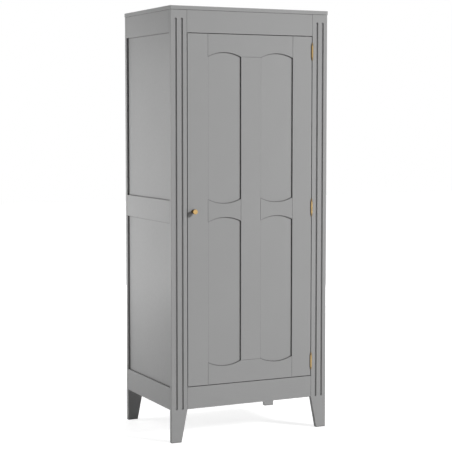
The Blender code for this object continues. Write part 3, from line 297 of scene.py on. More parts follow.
def lacquered_brass(name, colours, dulled, roughness, patina_and_shade=None, buffed_from=0.0):
    """Lacquered brass, rolled and satin polished, or turned on a lathe, where it has a patina and painted
    shade.

    The eye gets a warm brown-yellow metal with a soft gloss, dulled in clouds under the lacquer. Turned
    pieces keep fine rings round their axis, and a brown tone, partly patina and partly painted shade, on
    their sides and on all that is lower than the buff reaches, such as a knob's neck in the head's shadow,
    while their ends are buffed. The rings are drawn 1 mm apart and the polishing lines 0.25 mm, coarser
    than the real ones, so that they show.
    """
    material, tree = new_material(name)
    coordinates = add_node(tree, "ShaderNodeTexCoord")
    place = coordinates.outputs["Object"]
    clouds = add_node(tree, "ShaderNodeTexNoise", {"Vector": place, "Scale": 1 / (5 * MM), "Detail": 3.0})
    dulling = add_node(
        tree,
        "ShaderNodeMapRange",
        {"Value": clouds, **NOISE_RANGE, "To Min": dulled - 0.2, "To Max": dulled + 0.2},
    )
    tones = {"Factor": dulling, "A": rgba(colours.brass), "B": rgba(colours.brass_shade)}
    shade = add_node(tree, "ShaderNodeMix", tones, data_type="RGBA")
    # Painted shade, partly real patina: faces turned away from the axis are darkened, and so is all below the
    # buffed height, such as the knob's neck in its head's shadow.
    if patina_and_shade is not None:
        fading = {"To Min": 0.9, "To Max": 0.0}
        sides = {0: coordinates.outputs["Normal"], 1: (0.0, 0.0, 1.0)}
        along_axis = add_node(tree, "ShaderNodeVectorMath", sides, operation="DOT_PRODUCT")
        patina_and_shade_share = add_node(
            tree, "ShaderNodeMapRange", {"Value": along_axis, "From Min": 0.35, "From Max": 0.85, **fading}
        )
        if buffed_from > 0:
            height = add_node(tree, "ShaderNodeSeparateXYZ", {"Vector": place}).outputs["Z"]
            edge = {"From Min": buffed_from - 1 * MM, "From Max": buffed_from}
            below = add_node(tree, "ShaderNodeMapRange", {"Value": height, **edge, **fading})
            patina_and_shade_share = add_node(tree, "ShaderNodeMath", {0: patina_and_shade_share, 1: below}, operation="MAXIMUM")
        shade = add_node(
            tree, "ShaderNodeMix", {"Factor": patina_and_shade_share, "A": shade, "B": rgba(patina_and_shade)}, data_type="RGBA"
        )
    shade, normal = eased_edges(tree, 0.25 * MM, shade, rgba(colours.brass_shade), wear=0.35)
    if patina_and_shade is not None:
        # A ring texture of scale 1 repeats every 2 pi / 20.
        relief = add_node(
            tree,
            "ShaderNodeTexWave",
            {"Vector": place, "Scale": math.tau / 20 / (1.0 * MM), "Distortion": 0.6, "Detail": 1.0},
            wave_type="RINGS",
            rings_direction="Z",
        ).outputs["Fac"]
    else:
        relief = streaked_noise(tree, place, (0.25 * MM, 0.25 * MM, 2.5 * MM))
    normal = add_node(tree, "ShaderNodeBump", {"Distance": 0.004 * MM, "Height": relief, "Normal": normal})
    gloss = add_node(
        tree,
        "ShaderNodeMapRange",
        {"Value": clouds, **NOISE_RANGE, "To Min": roughness - 0.04, "To Max": roughness + 0.08},
    )
    surface = {"Metallic": 1.0, "Base Color": shade, "Roughness": gloss, "Normal": normal}
    shader = add_node(tree, "ShaderNodeBsdfPrincipled", surface)
    add_node(tree, "ShaderNodeOutputMaterial", {"Surface": shader})
    return material


def zinc_plate(name, colours):
    """Bright zinc plating on pressed or headed steel.

    The eye gets a cool pale metal, half dull, with a fine crystalline mottle of 1.5 mm and brighter rubbed
    edges.
    """
    material, tree = new_material(name)
    place = piece_coordinates(tree)
    crystals = add_node(tree, "ShaderNodeTexVoronoi", {"Vector": place, "Scale": 1 / (1.5 * MM)})
    facets = add_node(tree, "ShaderNodeMapRange", {"Value": crystals, "From Max": 0.8})
    tones = {"Factor": facets, "A": rgba(colours.zinc), "B": rgba(colours.zinc, 0.80)}
    shade = add_node(tree, "ShaderNodeMix", tones, data_type="RGBA")
    shade, normal = eased_edges(tree, 0.2 * MM, shade, rgba(colours.zinc, 1.2), wear=0.5)
    scratches = streaked_noise(tree, place, (0.3 * MM, 4 * MM, 0.3 * MM))
    normal = add_node(tree, "ShaderNodeBump", {"Distance": 0.004 * MM, "Height": scratches, "Normal": normal})
    gloss = add_node(
        tree,
        "ShaderNodeMapRange",
        {"Value": crystals, "From Max": 0.8, "To Min": 0.28, "To Max": 0.42},
    )
    surface = {"Metallic": 1.0, "Base Color": shade, "Roughness": gloss, "Normal": normal}
    shader = add_node(tree, "ShaderNodeBsdfPrincipled", surface)
    add_node(tree, "ShaderNodeOutputMaterial", {"Surface": shader})
    return material


def drawn_chrome(name, colours):
    """Chrome plating on drawn steel tube and pressed sockets.

    The eye gets a near mirror with faint lines along the tube from drawing, about 0.8 mm apart, and a light
    haze where hangers have slid.
    """
    material, tree = new_material(name)
    place = add_node(tree, "ShaderNodeTexCoord").outputs["Object"]
    haze = add_node(tree, "ShaderNodeTexNoise", {"Vector": place, "Scale": 1 / (30 * MM), "Detail": 3.0})
    shade = mottled(tree, haze, rgba(colours.chrome), rgba(colours.chrome, 0.90))
    shade, normal = eased_edges(tree, 0.3 * MM, shade, rgba(colours.chrome, 1.08), wear=0.4)
    drawing = streaked_noise(tree, place, (0.8 * MM, 0.8 * MM, 60 * MM))
    normal = add_node(tree, "ShaderNodeBump", {"Distance": 0.002 * MM, "Height": drawing, "Normal": normal})
    gloss = add_node(
        tree, "ShaderNodeMapRange", {"Value": haze, **NOISE_RANGE, "To Min": 0.07, "To Max": 0.16}
    )
    surface = {"Metallic": 1.0, "Base Color": shade, "Roughness": gloss, "Normal": normal}
    shader = add_node(tree, "ShaderNodeBsdfPrincipled", surface)
    add_node(tree, "ShaderNodeOutputMaterial", {"Surface": shader})
    return material


def moulded_catch_plastic(name, colours):
    """ABS, injection moulded in a spark-eroded tool.

    The eye gets a pale warm plastic with a fine even grit of 0.4 mm and slightly shinier corners.
    """
    material, tree = new_material(name)
    place = piece_coordinates(tree)
    flow = add_node(tree, "ShaderNodeTexNoise", {"Vector": place, "Scale": 1 / (9 * MM)})
    shade = mottled(tree, flow, rgba(colours.catch, 0.97), rgba(colours.catch, 1.03))
    shade, normal = eased_edges(tree, 0.5 * MM, shade, rgba(colours.catch, 1.12), wear=0.3)
    grit = add_node(tree, "ShaderNodeTexNoise", {"Vector": place, "Scale": 1 / (0.4 * MM)})
    normal = add_node(tree, "ShaderNodeBump", {"Distance": 0.02 * MM, "Height": grit, "Normal": normal})
    gloss = add_node(
        tree, "ShaderNodeMapRange", {"Value": grit, **NOISE_RANGE, "To Min": 0.45, "To Max": 0.58}
    )
    surface = {"IOR": 1.53, "Metallic": 0.0, "Base Color": shade, "Roughness": gloss, "Normal": normal}
    shader = add_node(tree, "ShaderNodeBsdfPrincipled", surface)
    add_node(tree, "ShaderNodeOutputMaterial", {"Surface": shader})
    return material


def ground_ferrite(name, colours):
    """Sintered ferrite, ground flat.

    The eye gets a dark grey ceramic with a dull sheen, grains of 0.5 mm and paler chipped edges.
    """
    material, tree = new_material(name)
    place = piece_coordinates(tree)
    grains = add_node(
        tree,
        "ShaderNodeTexNoise",
        {"Vector": place, "Scale": 1 / (0.5 * MM), "Detail": 4.0, "Roughness": 0.7},
    )
    shade = mottled(tree, grains, rgba(colours.ferrite, 0.75), rgba(colours.ferrite, 1.35))
    shade, normal = eased_edges(tree, 0.4 * MM, shade, rgba(colours.ferrite, 2.2), wear=0.5)
    normal = add_node(tree, "ShaderNodeBump", {"Distance": 0.02 * MM, "Height": grains, "Normal": normal})
    gloss = add_node(
        tree, "ShaderNodeMapRange", {"Value": grains, **NOISE_RANGE, "To Min": 0.5, "To Max": 0.7}
    )
    surface = {"IOR": 1.6, "Metallic": 0.0, "Base Color": shade, "Roughness": gloss, "Normal": normal}
    shader = add_node(tree, "ShaderNodeBsdfPrincipled", surface)
    add_node(tree, "ShaderNodeOutputMaterial", {"Surface": shader})
    return material


def sees_backdrop(tree):
    """1 for rays that show the backdrop to the camera, also in metal or glass, and 0 for all others."""
    path = add_node(tree, "ShaderNodeLightPath")
    shown = path.outputs["Is Camera Ray"]
    for ray in ("Is Glossy Ray", "Is Transmission Ray"):
        shown = add_node(tree, "ShaderNodeMath", {0: shown, 1: path.outputs[ray]}, operation="MAXIMUM")
    return shown


def studio_floor_paint(name, colours):
    """Matt white studio floor. It glows for the camera, as white as the backdrop, and keeps shadows."""
    material, tree = new_material(name)
    place = add_node(tree, "ShaderNodeTexCoord").outputs["Object"]
    scuffs = add_node(tree, "ShaderNodeTexNoise", {"Vector": place, "Scale": 1 / (400 * MM), "Detail": 3.0})
    shade = mottled(tree, scuffs, rgba(colours.floor, 0.98), rgba(colours.floor))
    surface = {"IOR": 1.3, "Metallic": 0.0, "Roughness": 0.9, "Base Color": shade}
    matt = add_node(tree, "ShaderNodeBsdfPrincipled", surface)
    distance = add_node(tree, "ShaderNodeVectorMath", {0: place}, operation="LENGTH")
    nearness = add_node(
        tree,
        "ShaderNodeMapRange",
        {"Value": distance, "From Min": 1.0, "From Max": 2.2, "To Min": 0.80, "To Max": 1.0},
    )
    strength = add_node(tree, "ShaderNodeMath", {0: sees_backdrop(tree), 1: nearness}, operation="MULTIPLY")
    glow = add_node(tree, "ShaderNodeEmission", {"Color": WHITE, "Strength": strength})
    both = add_node(tree, "ShaderNodeAddShader", {0: matt, 1: glow})
    add_node(tree, "ShaderNodeOutputMaterial", {"Surface": both})
    return material


# Shapes


def new_piece(name, mesh, material, location=(0, 0, 0), rotation=(0, 0, 0)):
    """A new object at a place in the frame. It gets one material, or with None keeps its mesh's own."""
    piece = bpy.data.objects.new(name, mesh)
    bpy.context.scene.collection.objects.link(piece)
    piece.location = location
    piece.rotation_euler = rotation
    if material is not None:
        mesh.materials.clear()
        mesh.materials.append(material)
    return piece


def finished_mesh(shape, name):
    """Turn a bmesh into a mesh, and free it."""
    mesh = bpy.data.meshes.new(name)
    shape.to_mesh(mesh)
    shape.free()
    return mesh


def smooth_shading(mesh):
    """Smooth a mesh, apart from its sharp edges."""
    mesh.shade_smooth()
    mesh.set_sharp_from_angle(angle=math.radians(35))
    return mesh


def turned_mesh(name, profile, steps=48):
    """Spin (radius, height) points round Z. The profile ends on the axis, or closes on itself for a ring."""
    shape = bmesh.new()
    points = [shape.verts.new((radius, 0.0, height)) for radius, height in profile]
    edges = [shape.edges.new(pair) for pair in zip(points, points[1:])]
    if profile[0][0] > 0:
        edges.append(shape.edges.new((points[-1], points[0])))
    bmesh.ops.spin(
        shape,
        geom=points + edges,
        cent=(0, 0, 0),
        axis=(0, 0, 1),
        angle=math.tau,
        steps=steps,
        use_merge=True,
        use_duplicate=False,
    )
    bmesh.ops.remove_doubles(shape, verts=shape.verts, dist=0.001 * MM)
    bmesh.ops.recalc_face_normals(shape, faces=shape.faces)
    return smooth_shading(finished_mesh(shape, name))


def ring_profile(inner, outer, low, high, ease):
    """The profile of a ring or tube whose outer edges are eased."""
    return [
        (inner, low),
        (inner, high),
        (outer - ease, high),
        (outer, high - ease),
        (outer, low + ease),
        (outer - ease, low),
    ]


def box_shape(low, high):
    """A bmesh box between two corners."""
    low = Vector(low)
    high = Vector(high)
    shape = bmesh.new()
    bmesh.ops.create_cube(shape, size=1.0)
    bmesh.ops.scale(shape, vec=high - low, verts=shape.verts)
    bmesh.ops.translate(shape, vec=(low + high) / 2, verts=shape.verts)
    return shape


def plate_mesh(name, low, high, corner_radius, is_rounded, edge_radius):
    """A flat plate across X between two corners, rounded where the test says so and with eased edges."""
    shape = box_shape(low, high)
    rounded = []
    for edge in shape.edges:
        start, end = (vert.co for vert in edge.verts)
        if abs((start - end).normalized().x) > 0.9 and is_rounded((start + end) / 2):
            rounded.append(edge)
    bmesh.ops.bevel(shape, geom=rounded, offset=corner_radius, segments=6, profile=0.5, affect="EDGES")
    sharp = [edge for edge in shape.edges if edge.calc_face_angle(0.0) > math.radians(60)]
    bmesh.ops.bevel(shape, geom=sharp, offset=edge_radius, segments=2, profile=0.5, affect="EDGES")
    return smooth_shading(finished_mesh(shape, name))


def combined_mesh(name, start, steps):
    """Cut meshes from a mesh or join them to it, in order, and return the result."""
    base = new_piece(name + "_base", start, None)
    helpers = []
    for number, (operation, mesh) in enumerate(steps):
        helper = new_piece("%s_helper_%d" % (name, number), mesh, None)
        helpers.append(helper)
        boolean = base.modifiers.new("step_%d" % number, "BOOLEAN")
        boolean.operation = operation
        boolean.solver = "EXACT"
        boolean.object = helper
    bpy.context.view_layer.update()
    depsgraph = bpy.context.evaluated_depsgraph_get()
    mesh = bpy.data.meshes.new_from_object(base.evaluated_get(depsgraph))
    mesh.name = name
    for helper in helpers + [base]:
        bpy.data.objects.remove(helper, do_unlink=True)
    return smooth_shading(mesh)


def cross_head_screw(name, head_radius, head_height, shank_radius, shank_length):
    """A raised-head screw with a cross recess: its head stands on height 0 and its shank goes down."""
    profile = [
        (0.0, head_height),
        (head_radius * 0.40, head_height * 0.97),
        (head_radius * 0.75, head_height * 0.78),
        (head_radius * 0.95, head_height * 0.38),
        (head_radius, 0.0),
        (shank_radius, -(head_radius - shank_radius) * 0.8),
        (shank_radius, -shank_length + shank_radius * 2),
        (0.0, -shank_length),
    ]
    recess_width = head_radius * 0.20
    recess_reach = head_radius * 0.58
    depth = head_radius * 0.30
    tools = []
    # One arm of the cross is a little smaller, so that no two of its faces are in one place.
    for reach_x, reach_y in ((recess_reach, recess_width), (recess_width * 0.97, recess_reach * 0.99)):
        recess = box_shape((-reach_x, -reach_y, head_height - depth), (reach_x, reach_y, head_height + depth))
        tools.append(("DIFFERENCE", finished_mesh(recess, name + "_recess")))
    return combined_mesh(name, turned_mesh(name + "_blank", profile, steps=32), tools)


def facing(direction):
    """Rotation that turns a piece's own +Z to a direction."""
    return Vector(direction).to_track_quat("Z", "Y").to_euler()


def paint_nodes(names, material):
    """Give CAD pieces that keep their own shape a better finish."""
    for name in names:
        if name not in NODES:
            raise RuntimeError("The frame has no piece named " + name)
        if not NODES[name].material_slots:
            raise RuntimeError("The frame's piece has no material slot: " + name)
        for slot in NODES[name].material_slots:
            slot.material = material


def colours_of(context):
    return context.scene.wardrobe_colours


def sizes_of(context):
    return context.scene.wardrobe_sizes


# Woodwork


class WARDROBE_OT_paint_uprights(bpy.types.Operator):
    """Finish the posts, the door's stiles and its muntin, whose grain stands upright"""

    bl_idname = "wardrobe.paint_uprights"
    bl_label = "Paint Uprights"

    def execute(self, context):
        finish = satin_enamel("satin_enamel_on_pine_upright", "Z", sizes_of(context), colours_of(context))
        paint_nodes(POSTS + DOOR_UPRIGHTS, finish)
        return {"FINISHED"}


class WARDROBE_OT_paint_rails(bpy.types.Operator):
    """Finish the rails of the front, the back, the sides and the door, whose grain lies level"""

    bl_idname = "wardrobe.paint_rails"
    bl_label = "Paint Rails"

    def execute(self, context):
        sizes = sizes_of(context)
        colours = colours_of(context)
        across = satin_enamel("satin_enamel_on_pine_across", "X", sizes, colours)
        paint_nodes(CARCASS_RAILS + DOOR_RAILS + ["door_stop"], across)
        along = satin_enamel("satin_enamel_on_pine_front_to_back", "Y", sizes, colours)
        paint_nodes(SIDE_RAILS + INSIDE_BATTENS, along)
        return {"FINISHED"}


class WARDROBE_OT_paint_panels(bpy.types.Operator):
    """Finish the thin fibreboard panels of the door, the sides and the back"""

    bl_idname = "wardrobe.paint_panels"
    bl_label = "Paint Panels"

    def execute(self, context):
        finish = satin_enamel("satin_enamel_on_fibreboard", None, sizes_of(context), colours_of(context))
        paint_nodes(DOOR_PANELS + SIDE_PANELS + ["back_panel"], finish)
        return {"FINISHED"}


class WARDROBE_OT_paint_boards(bpy.types.Operator):
    """Finish the top board, the shelf and the floor board"""

    bl_idname = "wardrobe.paint_boards"
    bl_label = "Paint Boards"

    def execute(self, context):
        finish = satin_enamel("satin_enamel_on_pine_board", "X", sizes_of(context), colours_of(context))
        paint_nodes(["top_board", "shelf", "floor_board"], finish)
        return {"FINISHED"}


# Brassware

# Half the gap between the door and its post, in whose middle the hinge pins stand
HALF_DOOR_GAP = 1.25 * MM
# The gap between two knuckles of a hinge
KNUCKLE_GAP = 0.3 * MM
# How far the screws of a hinge leaf are above and below its middle
LEAF_SCREW_OFFSET = 15 * MM


def tip_profile(sizes):
    """The pointed tip of a hinge from its point down to the barrel: (share of radius, share of length)."""
    outline = (
        (0.0, 1.0),
        (0.14, 0.99),
        (0.30, 0.93),
        (0.50, 0.78),
        (0.66, 0.60),
        (0.78, 0.40),
        (0.84, 0.22),
        (0.80, 0.14),
        (0.76, 0.10),
        (0.80, 0.07),
        (0.96, 0.05),
        (1.0, 0.03),
        (1.0, 0.0),
    )
    return [(share * sizes.knuckle_radius, along * sizes.tip_length) for share, along in outline]


def leaf_mesh(name, sizes, wood_side, half_barrel, reach, own, other):
    """One hinge leaf about its pin: the plate, and a knuckle for each of its own stretches of barrel."""
    face = HALF_DOOR_GAP - sizes.leaf_proud
    near, far = sorted((wood_side * face, wood_side * (face + sizes.leaf_thickness)))
    inside_barrel = sizes.knuckle_radius * 0.55
    plate = plate_mesh(
        name + "_plate",
        (near, inside_barrel, KNUCKLE_GAP - half_barrel),
        (far, reach, half_barrel - KNUCKLE_GAP),
        corner_radius=1.6 * MM,
        is_rounded=lambda place: place.y > reach - 0.1 * MM,
        edge_radius=0.15 * MM,
    )
    bore = sizes.pin_radius + 0.3 * MM
    room_round = sizes.knuckle_radius + 0.4 * MM
    room_along = 0.6 * MM
    past_end = 5 * MM
    steps = []
    for place, (start, stop) in other.items():
        start -= past_end if place == "bottom" else room_along
        stop += past_end if place == "top" else room_along
        room = [(0.0, stop), (room_round, stop), (room_round, start), (0.0, start)]
        steps.append(("DIFFERENCE", turned_mesh(name + "_room", room)))
    for start, stop in own.values():
        ring = ring_profile(bore, sizes.knuckle_radius, start, stop, ease=0.25 * MM)
        steps.append(("UNION", turned_mesh(name + "_knuckle", ring)))
    return combined_mesh(name, plate, steps)


def hinge_meshes(sizes, half_barrel, reach):
    """A hinge about the middle of its pin: the two leaves, the pin with its upper tip, and the lower tip."""
    half_knuckle = (2 * half_barrel - 2 * KNUCKLE_GAP) / 6
    middle = {"middle": (-half_knuckle, half_knuckle)}
    past_middle = half_knuckle + KNUCKLE_GAP
    ends = {"bottom": (-half_barrel, -past_middle), "top": (past_middle, half_barrel)}
    frame_leaf = leaf_mesh("hinge_frame_leaf", sizes, 1, half_barrel, reach, own=ends, other=middle)
    door_leaf = leaf_mesh("hinge_door_leaf", sizes, -1, half_barrel, reach, own=middle, other=ends)
    tip = tip_profile(sizes)
    tip_foot = half_barrel + KNUCKLE_GAP
    pin = [(radius, tip_foot + along) for radius, along in tip]
    pin += [(sizes.pin_radius, tip_foot), (sizes.pin_radius, -half_barrel), (0.0, -half_barrel)]
    lower_tip = [(0.0, -half_barrel), (tip[-1][0], -half_barrel)]
    lower_tip += [(radius, -half_barrel - along) for radius, along in reversed(tip[:-1])]
    return frame_leaf, door_leaf, turned_mesh("hinge_pin", pin), turned_mesh("hinge_lower_tip", lower_tip)


class WARDROBE_OT_make_hinges(bpy.types.Operator):
    """Make the three brass hinges with turned tips and put their screws in"""

    bl_idname = "wardrobe.make_hinges"
    bl_label = "Make Hinges"

    def execute(self, context):
        sizes = sizes_of(context)
        colours = colours_of(context)
        polished = lacquered_brass("satin_brass_leaf", colours, dulled=0.8, roughness=0.30)
        turned = lacquered_brass(
            "turned_brass_pin", colours, dulled=0.8, roughness=0.30, patina_and_shade=colours.pin_patina_and_shade
        )
        screw_brass = lacquered_brass("brass_screw", colours, dulled=0.5, roughness=0.30)
        low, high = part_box("hinge_top_door_leaf")
        half_barrel = (high.z - low.z) / 2 + KNUCKLE_GAP
        reach = high.y - PIN.y
        frame_leaf, door_leaf, pin, lower_tip = hinge_meshes(sizes, half_barrel, reach)
        radius = sizes.leaf_screw_radius
        screw = cross_head_screw(
            "hinge_screw", radius, head_height=0.45 * MM, shank_radius=1.1 * MM, shank_length=11 * MM
        )
        screw_y = PIN.y + (reach + sizes.knuckle_radius) / 2
        for place in HINGES:
            low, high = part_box("hinge_%s_door_leaf" % place)
            centre = Vector((PIN.x, PIN.y, (low.z + high.z) / 2))
            for kind, mesh, finish, body in (
                ("frame_leaf", frame_leaf, polished, "carcass"),
                ("door_leaf", door_leaf, polished, "door"),
                ("pin", pin, turned, "carcass"),
            ):
                piece = new_piece("brass_hinge_%s_%s" % (place, kind), mesh, finish, centre)
                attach(piece, body)
                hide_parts("hinge_%s_%s" % (place, kind))
            piece = new_piece("brass_hinge_%s_lower_tip" % place, lower_tip, turned, centre)
            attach(piece, "carcass")
            for side, body in ((1, "carcass"), (-1, "door")):
                screw_x = PIN.x + side * (HALF_DOOR_GAP - sizes.leaf_proud)
                for number, offset in enumerate((-LEAF_SCREW_OFFSET, LEAF_SCREW_OFFSET), start=1):
                    name = "hinge_%s_%s_screw_%d" % (place, body, number)
                    spot = (screw_x, screw_y, centre.z + offset)
                    piece = new_piece(name, screw, screw_brass, spot, facing((-side, 0, 0)))
                    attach(piece, body)
        return {"FINISHED"}


class WARDROBE_OT_make_knob(bpy.types.Operator):
    """Make the turned brass knob and finish the screw that holds it"""

    bl_idname = "wardrobe.make_knob"
    bl_label = "Make Knob"

    def execute(self, context):
        colours = colours_of(context)
        low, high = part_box("knob")
        radius = (high.x - low.x) / 2
        length = high.y - low.y
        neck = 5.0 * MM
        foot = 7.5 * MM
        head = length - 9 * MM
        dish = 0.8 * MM
        bore = 2.3 * MM
        bore_depth = 13.7 * MM
        profile = [
            (0.0, length - dish),
            (radius * 0.50, length - dish),
            (radius * 0.56, length - dish * 0.94),
            (radius * 0.62, length - dish * 0.55),
            (radius * 0.68, length - dish * 0.12),
            (radius * 0.74, length),
            (radius * 0.86, length - 0.05 * MM),
            (radius * 0.93, length - 0.35 * MM),
            (radius * 0.98, length - 1.1 * MM),
            (radius, length - 2.2 * MM),
            (radius, head + 2.2 * MM),
            (radius * 0.98, head + 1.2 * MM),
            (radius * 0.93, head + 0.5 * MM),
            (radius * 0.84, head + 0.05 * MM),
            (radius * 0.70, head - 0.2 * MM),
            (neck * 1.22, head - 1.0 * MM),
            (neck * 1.06, head - 2.2 * MM),
            (neck, head - 4.0 * MM),
            (neck, 6.2 * MM),
            (neck * 1.06, 4.8 * MM),
            (neck * 1.22, 3.6 * MM),
            (foot - 0.6 * MM, 3.0 * MM),
            (foot - 0.15 * MM, 2.8 * MM),
            (foot, 2.3 * MM),
            (foot, 0.0),
            (bore, 0.0),
            (bore, bore_depth),
            (0.0, bore_depth),
        ]
        finish = lacquered_brass(
            "turned_brass_knob",
            colours,
            dulled=0.3,
            roughness=0.36,
            patina_and_shade=colours.knob_patina_and_shade,
            buffed_from=head,
        )
        centre = ((low.x + high.x) / 2, high.y, (low.z + high.z) / 2)
        mesh = turned_mesh("turned_knob", profile, steps=64)
        knob = new_piece("turned_knob", mesh, finish, centre, facing((0, -1, 0)))
        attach(knob, "door")
        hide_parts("knob")
        zinc = zinc_plate("zinc_plated_knob_screw", colours)
        make_screw_over("knob_screw", "door", (0, 1, 0), head_height=2.3 * MM, finish=zinc)
        return {"FINISHED"}


def make_screw_over(node, body, direction, head_height, finish):
    """A detailed screw in place of a plain one: the same head and length, with a cross recess."""
    low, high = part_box(node)
    axis = 1 if direction[1] else 2
    head_radius = (high.x - low.x) / 2
    shank_length = high[axis] - low[axis] - head_height
    head_end = high if direction[axis] > 0 else low
    seat = (low + high) / 2
    seat[axis] = head_end[axis] - direction[axis] * head_height
    shank_radius = 1.4 * MM
    mesh = cross_head_screw(node + "_detailed", head_radius, head_height, shank_radius, shank_length)
    screw = new_piece(node + "_detailed", mesh, finish, seat, facing(direction))
    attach(screw, body)
    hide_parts(node)


# Fittings inside


class WARDROBE_OT_finish_catch(bpy.types.Operator):
    """Finish the magnetic catch, its screws and the strike plate on the door"""

    bl_idname = "wardrobe.finish_catch"
    bl_label = "Finish Catch"

    def execute(self, context):
        colours = colours_of(context)
        paint_nodes(["catch_housing"], moulded_catch_plastic("moulded_abs_catch", colours))
        paint_nodes(["catch_magnet"], ground_ferrite("ground_ferrite_magnet", colours))
        paint_nodes(["strike_plate", "strike_plate_screw"], zinc_plate("zinc_plated_strike", colours))
        zinc = zinc_plate("zinc_plated_catch_screw", colours)
        for side in SIDES:
            make_screw_over("catch_screw_" + side, "carcass", (0, 0, -1), head_height=1.7 * MM, finish=zinc)
        return {"FINISHED"}


class WARDROBE_OT_finish_hanging_rail(bpy.types.Operator):
    """Make the chromed hanging rail, its two sockets and their screws"""

    bl_idname = "wardrobe.finish_hanging_rail"
    bl_label = "Finish Hanging Rail"

    def execute(self, context):
        colours = colours_of(context)
        chrome = drawn_chrome("chromed_steel_tube", colours)
        pressed = drawn_chrome("chromed_steel_socket", colours)
        zinc = zinc_plate("zinc_plated_socket_screw", colours)
        low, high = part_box("hanging_rail")
        radius = (high.z - low.z) / 2
        reach = (high.x - low.x) / 2
        wall = 1.2 * MM
        tube = ring_profile(radius - wall, radius, -reach, reach, ease=0.3 * MM)
        tube_mesh = turned_mesh("chromed_rail", tube, steps=64)
        rail = new_piece("chromed_rail", tube_mesh, chrome, (low + high) / 2, facing((1, 0, 0)))
        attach(rail, "carcass")
        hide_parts("hanging_rail")
        screw = cross_head_screw(
            "socket_screw", 2.3 * MM, head_height=1.1 * MM, shank_radius=1.2 * MM, shank_length=12 * MM
        )
        cup_floor = 1.5 * MM
        screw_seat = 2.7 * MM
        for side, side_name in ((-1, "left"), (1, "right")):
            low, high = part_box("hanging_rail_socket_" + side_name)
            flange = (high.z - low.z) / 2
            depth = high.x - low.x
            mouth = radius + 0.3 * MM
            rim = radius + 2.5 * MM
            cup = [
                (0.0, cup_floor),
                (mouth, cup_floor),
                (mouth, depth - 0.4 * MM),
                (mouth + 0.4 * MM, depth),
                (rim - 0.7 * MM, depth),
                (rim, depth - 0.7 * MM),
                (rim, 4.2 * MM),
                (rim + 1.2 * MM, 3.0 * MM),
                (flange - 0.9 * MM, 2.8 * MM),
                (flange - 0.2 * MM, 2.2 * MM),
                (flange, 1.4 * MM),
                (flange, 0.0),
                (0.0, 0.0),
            ]
            wall_x = high.x if side > 0 else low.x
            place = Vector((wall_x, (low.y + high.y) / 2, (low.z + high.z) / 2))
            cup_mesh = turned_mesh("rail_socket_" + side_name, cup, steps=64)
            socket = new_piece("rail_socket_" + side_name, cup_mesh, pressed, place, facing((-side, 0, 0)))
            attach(socket, "carcass")
            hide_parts("hanging_rail_socket_" + side_name)
            circle = (rim + flange) / 2 + 0.3 * MM
            for number in range(3):
                angle = math.tau * number / 3 + math.radians(90)
                y = circle * math.cos(angle)
                z = circle * math.sin(angle)
                spot = place + Vector((-side * screw_seat, y, z))
                name = "socket_%s_screw_%d" % (side_name, number + 1)
                piece = new_piece(name, screw, zinc, spot, facing((-side, 0, 0)))
                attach(piece, "carcass")
        return {"FINISHED"}


class WARDROBE_OT_drive_batten_screws(bpy.types.Operator):
    """Drive the screws that hold the battens under the shelf and floor, and the door stop"""

    bl_idname = "wardrobe.drive_batten_screws"
    bl_label = "Drive Batten Screws"

    def execute(self, context):
        zinc = zinc_plate("zinc_plated_wood_screw", colours_of(context))
        radius = sizes_of(context).wood_screw_radius
        mesh = cross_head_screw(
            "wood_screw", radius, head_height=0.5 * MM, shank_radius=1.6 * MM, shank_length=22 * MM
        )
        spots = []
        for side, side_name in ((-1, "left"), (1, "right")):
            for kind, shares in (("shelf", (0.08, 0.36, 0.64, 0.92)), ("floor", (0.1, 0.5, 0.9))):
                low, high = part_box("%s_cleat_%s" % (kind, side_name))
                x = low.x if side > 0 else high.x
                for share in shares:
                    y = low.y + (high.y - low.y) * share
                    spots.append(((x, y, (low.z + high.z) / 2), (-side, 0, 0)))
        low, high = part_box("door_stop")
        below_top = 10 * MM
        for share in (0.12, 0.5, 0.88):
            x = low.x + (high.x - low.x) * share
            spots.append(((x, high.y, high.z - below_top), (0, 1, 0)))
        for number, (place, direction) in enumerate(spots, start=1):
            screw = new_piece("batten_screw_%02d" % number, mesh, zinc, place, facing(direction))
            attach(screw, "carcass")
        return {"FINISHED"}


# Studio

FLOOR_REACH = 15

# Where the camera stands, fitted to the photograph's view
CAMERA_PLACE = (-2.5368, -5.2680, 1.3447)

# Each lamp's name, place, aim, width and height, and the property that holds its power
LAMPS = (
    ("key_lamp", (8.0, -10.5, 7.2), (0.0, -0.24, 0.9), 2.6, 2.6, "key_power"),
    ("low_right_lamp", (2.6, -2.4, 1.0), (0.2, -0.24, 0.7), 1.0, 0.8, "low_right_power"),
    ("side_lamp", (-3.2, 2.2, 1.3), (-0.36, 0.1, 1.1), 1.5, 2.0, "side_power"),
    ("tall_side_lamp", (-1.0, 0.6, 1.2), (-0.36, 0.15, 1.2), 0.5, 1.0, "tall_side_power"),
    ("near_side_lamp", (-0.75, 0.30, 0.62), (-0.36, 0.10, 0.62), 0.4, 0.25, "near_side_power"),
    ("low_side_lamp", (-1.0, 0.55, 0.50), (-0.36, 0.05, 0.62), 0.5, 0.25, "low_side_power"),
    ("rear_lamp", (1.8, 4.6, 1.1), (0.0, 0.26, 0.9), 2.0, 2.0, "rear_power"),
    ("top_lamp", (0.1, 0.75, 4.2), (0.1, 0.25, 1.8), 0.8, 0.8, "top_power"),
)
# Lamps without reflections, as with a polarising filter. Seen from behind, the top board would show only
# their glare.
GLARE_FREE_LAMPS = ("key_lamp", "rear_lamp", "top_lamp")


def add_lamp(name, place, aim, width, height, power):
    """A soft rectangular lamp at a place, turned to what it lights, that the camera doesn't see."""
    data = bpy.data.lights.new(name, "AREA")
    data.shape = "RECTANGLE"
    data.size = width
    data.size_y = height
    data.energy = power
    lamp = bpy.data.objects.new(name, data)
    bpy.context.scene.collection.objects.link(lamp)
    lamp.visible_camera = False
    lamp.visible_glossy = name not in GLARE_FREE_LAMPS
    lamp.location = place
    lamp.rotation_euler = (Vector(aim) - Vector(place)).to_track_quat("-Z", "Y").to_euler()


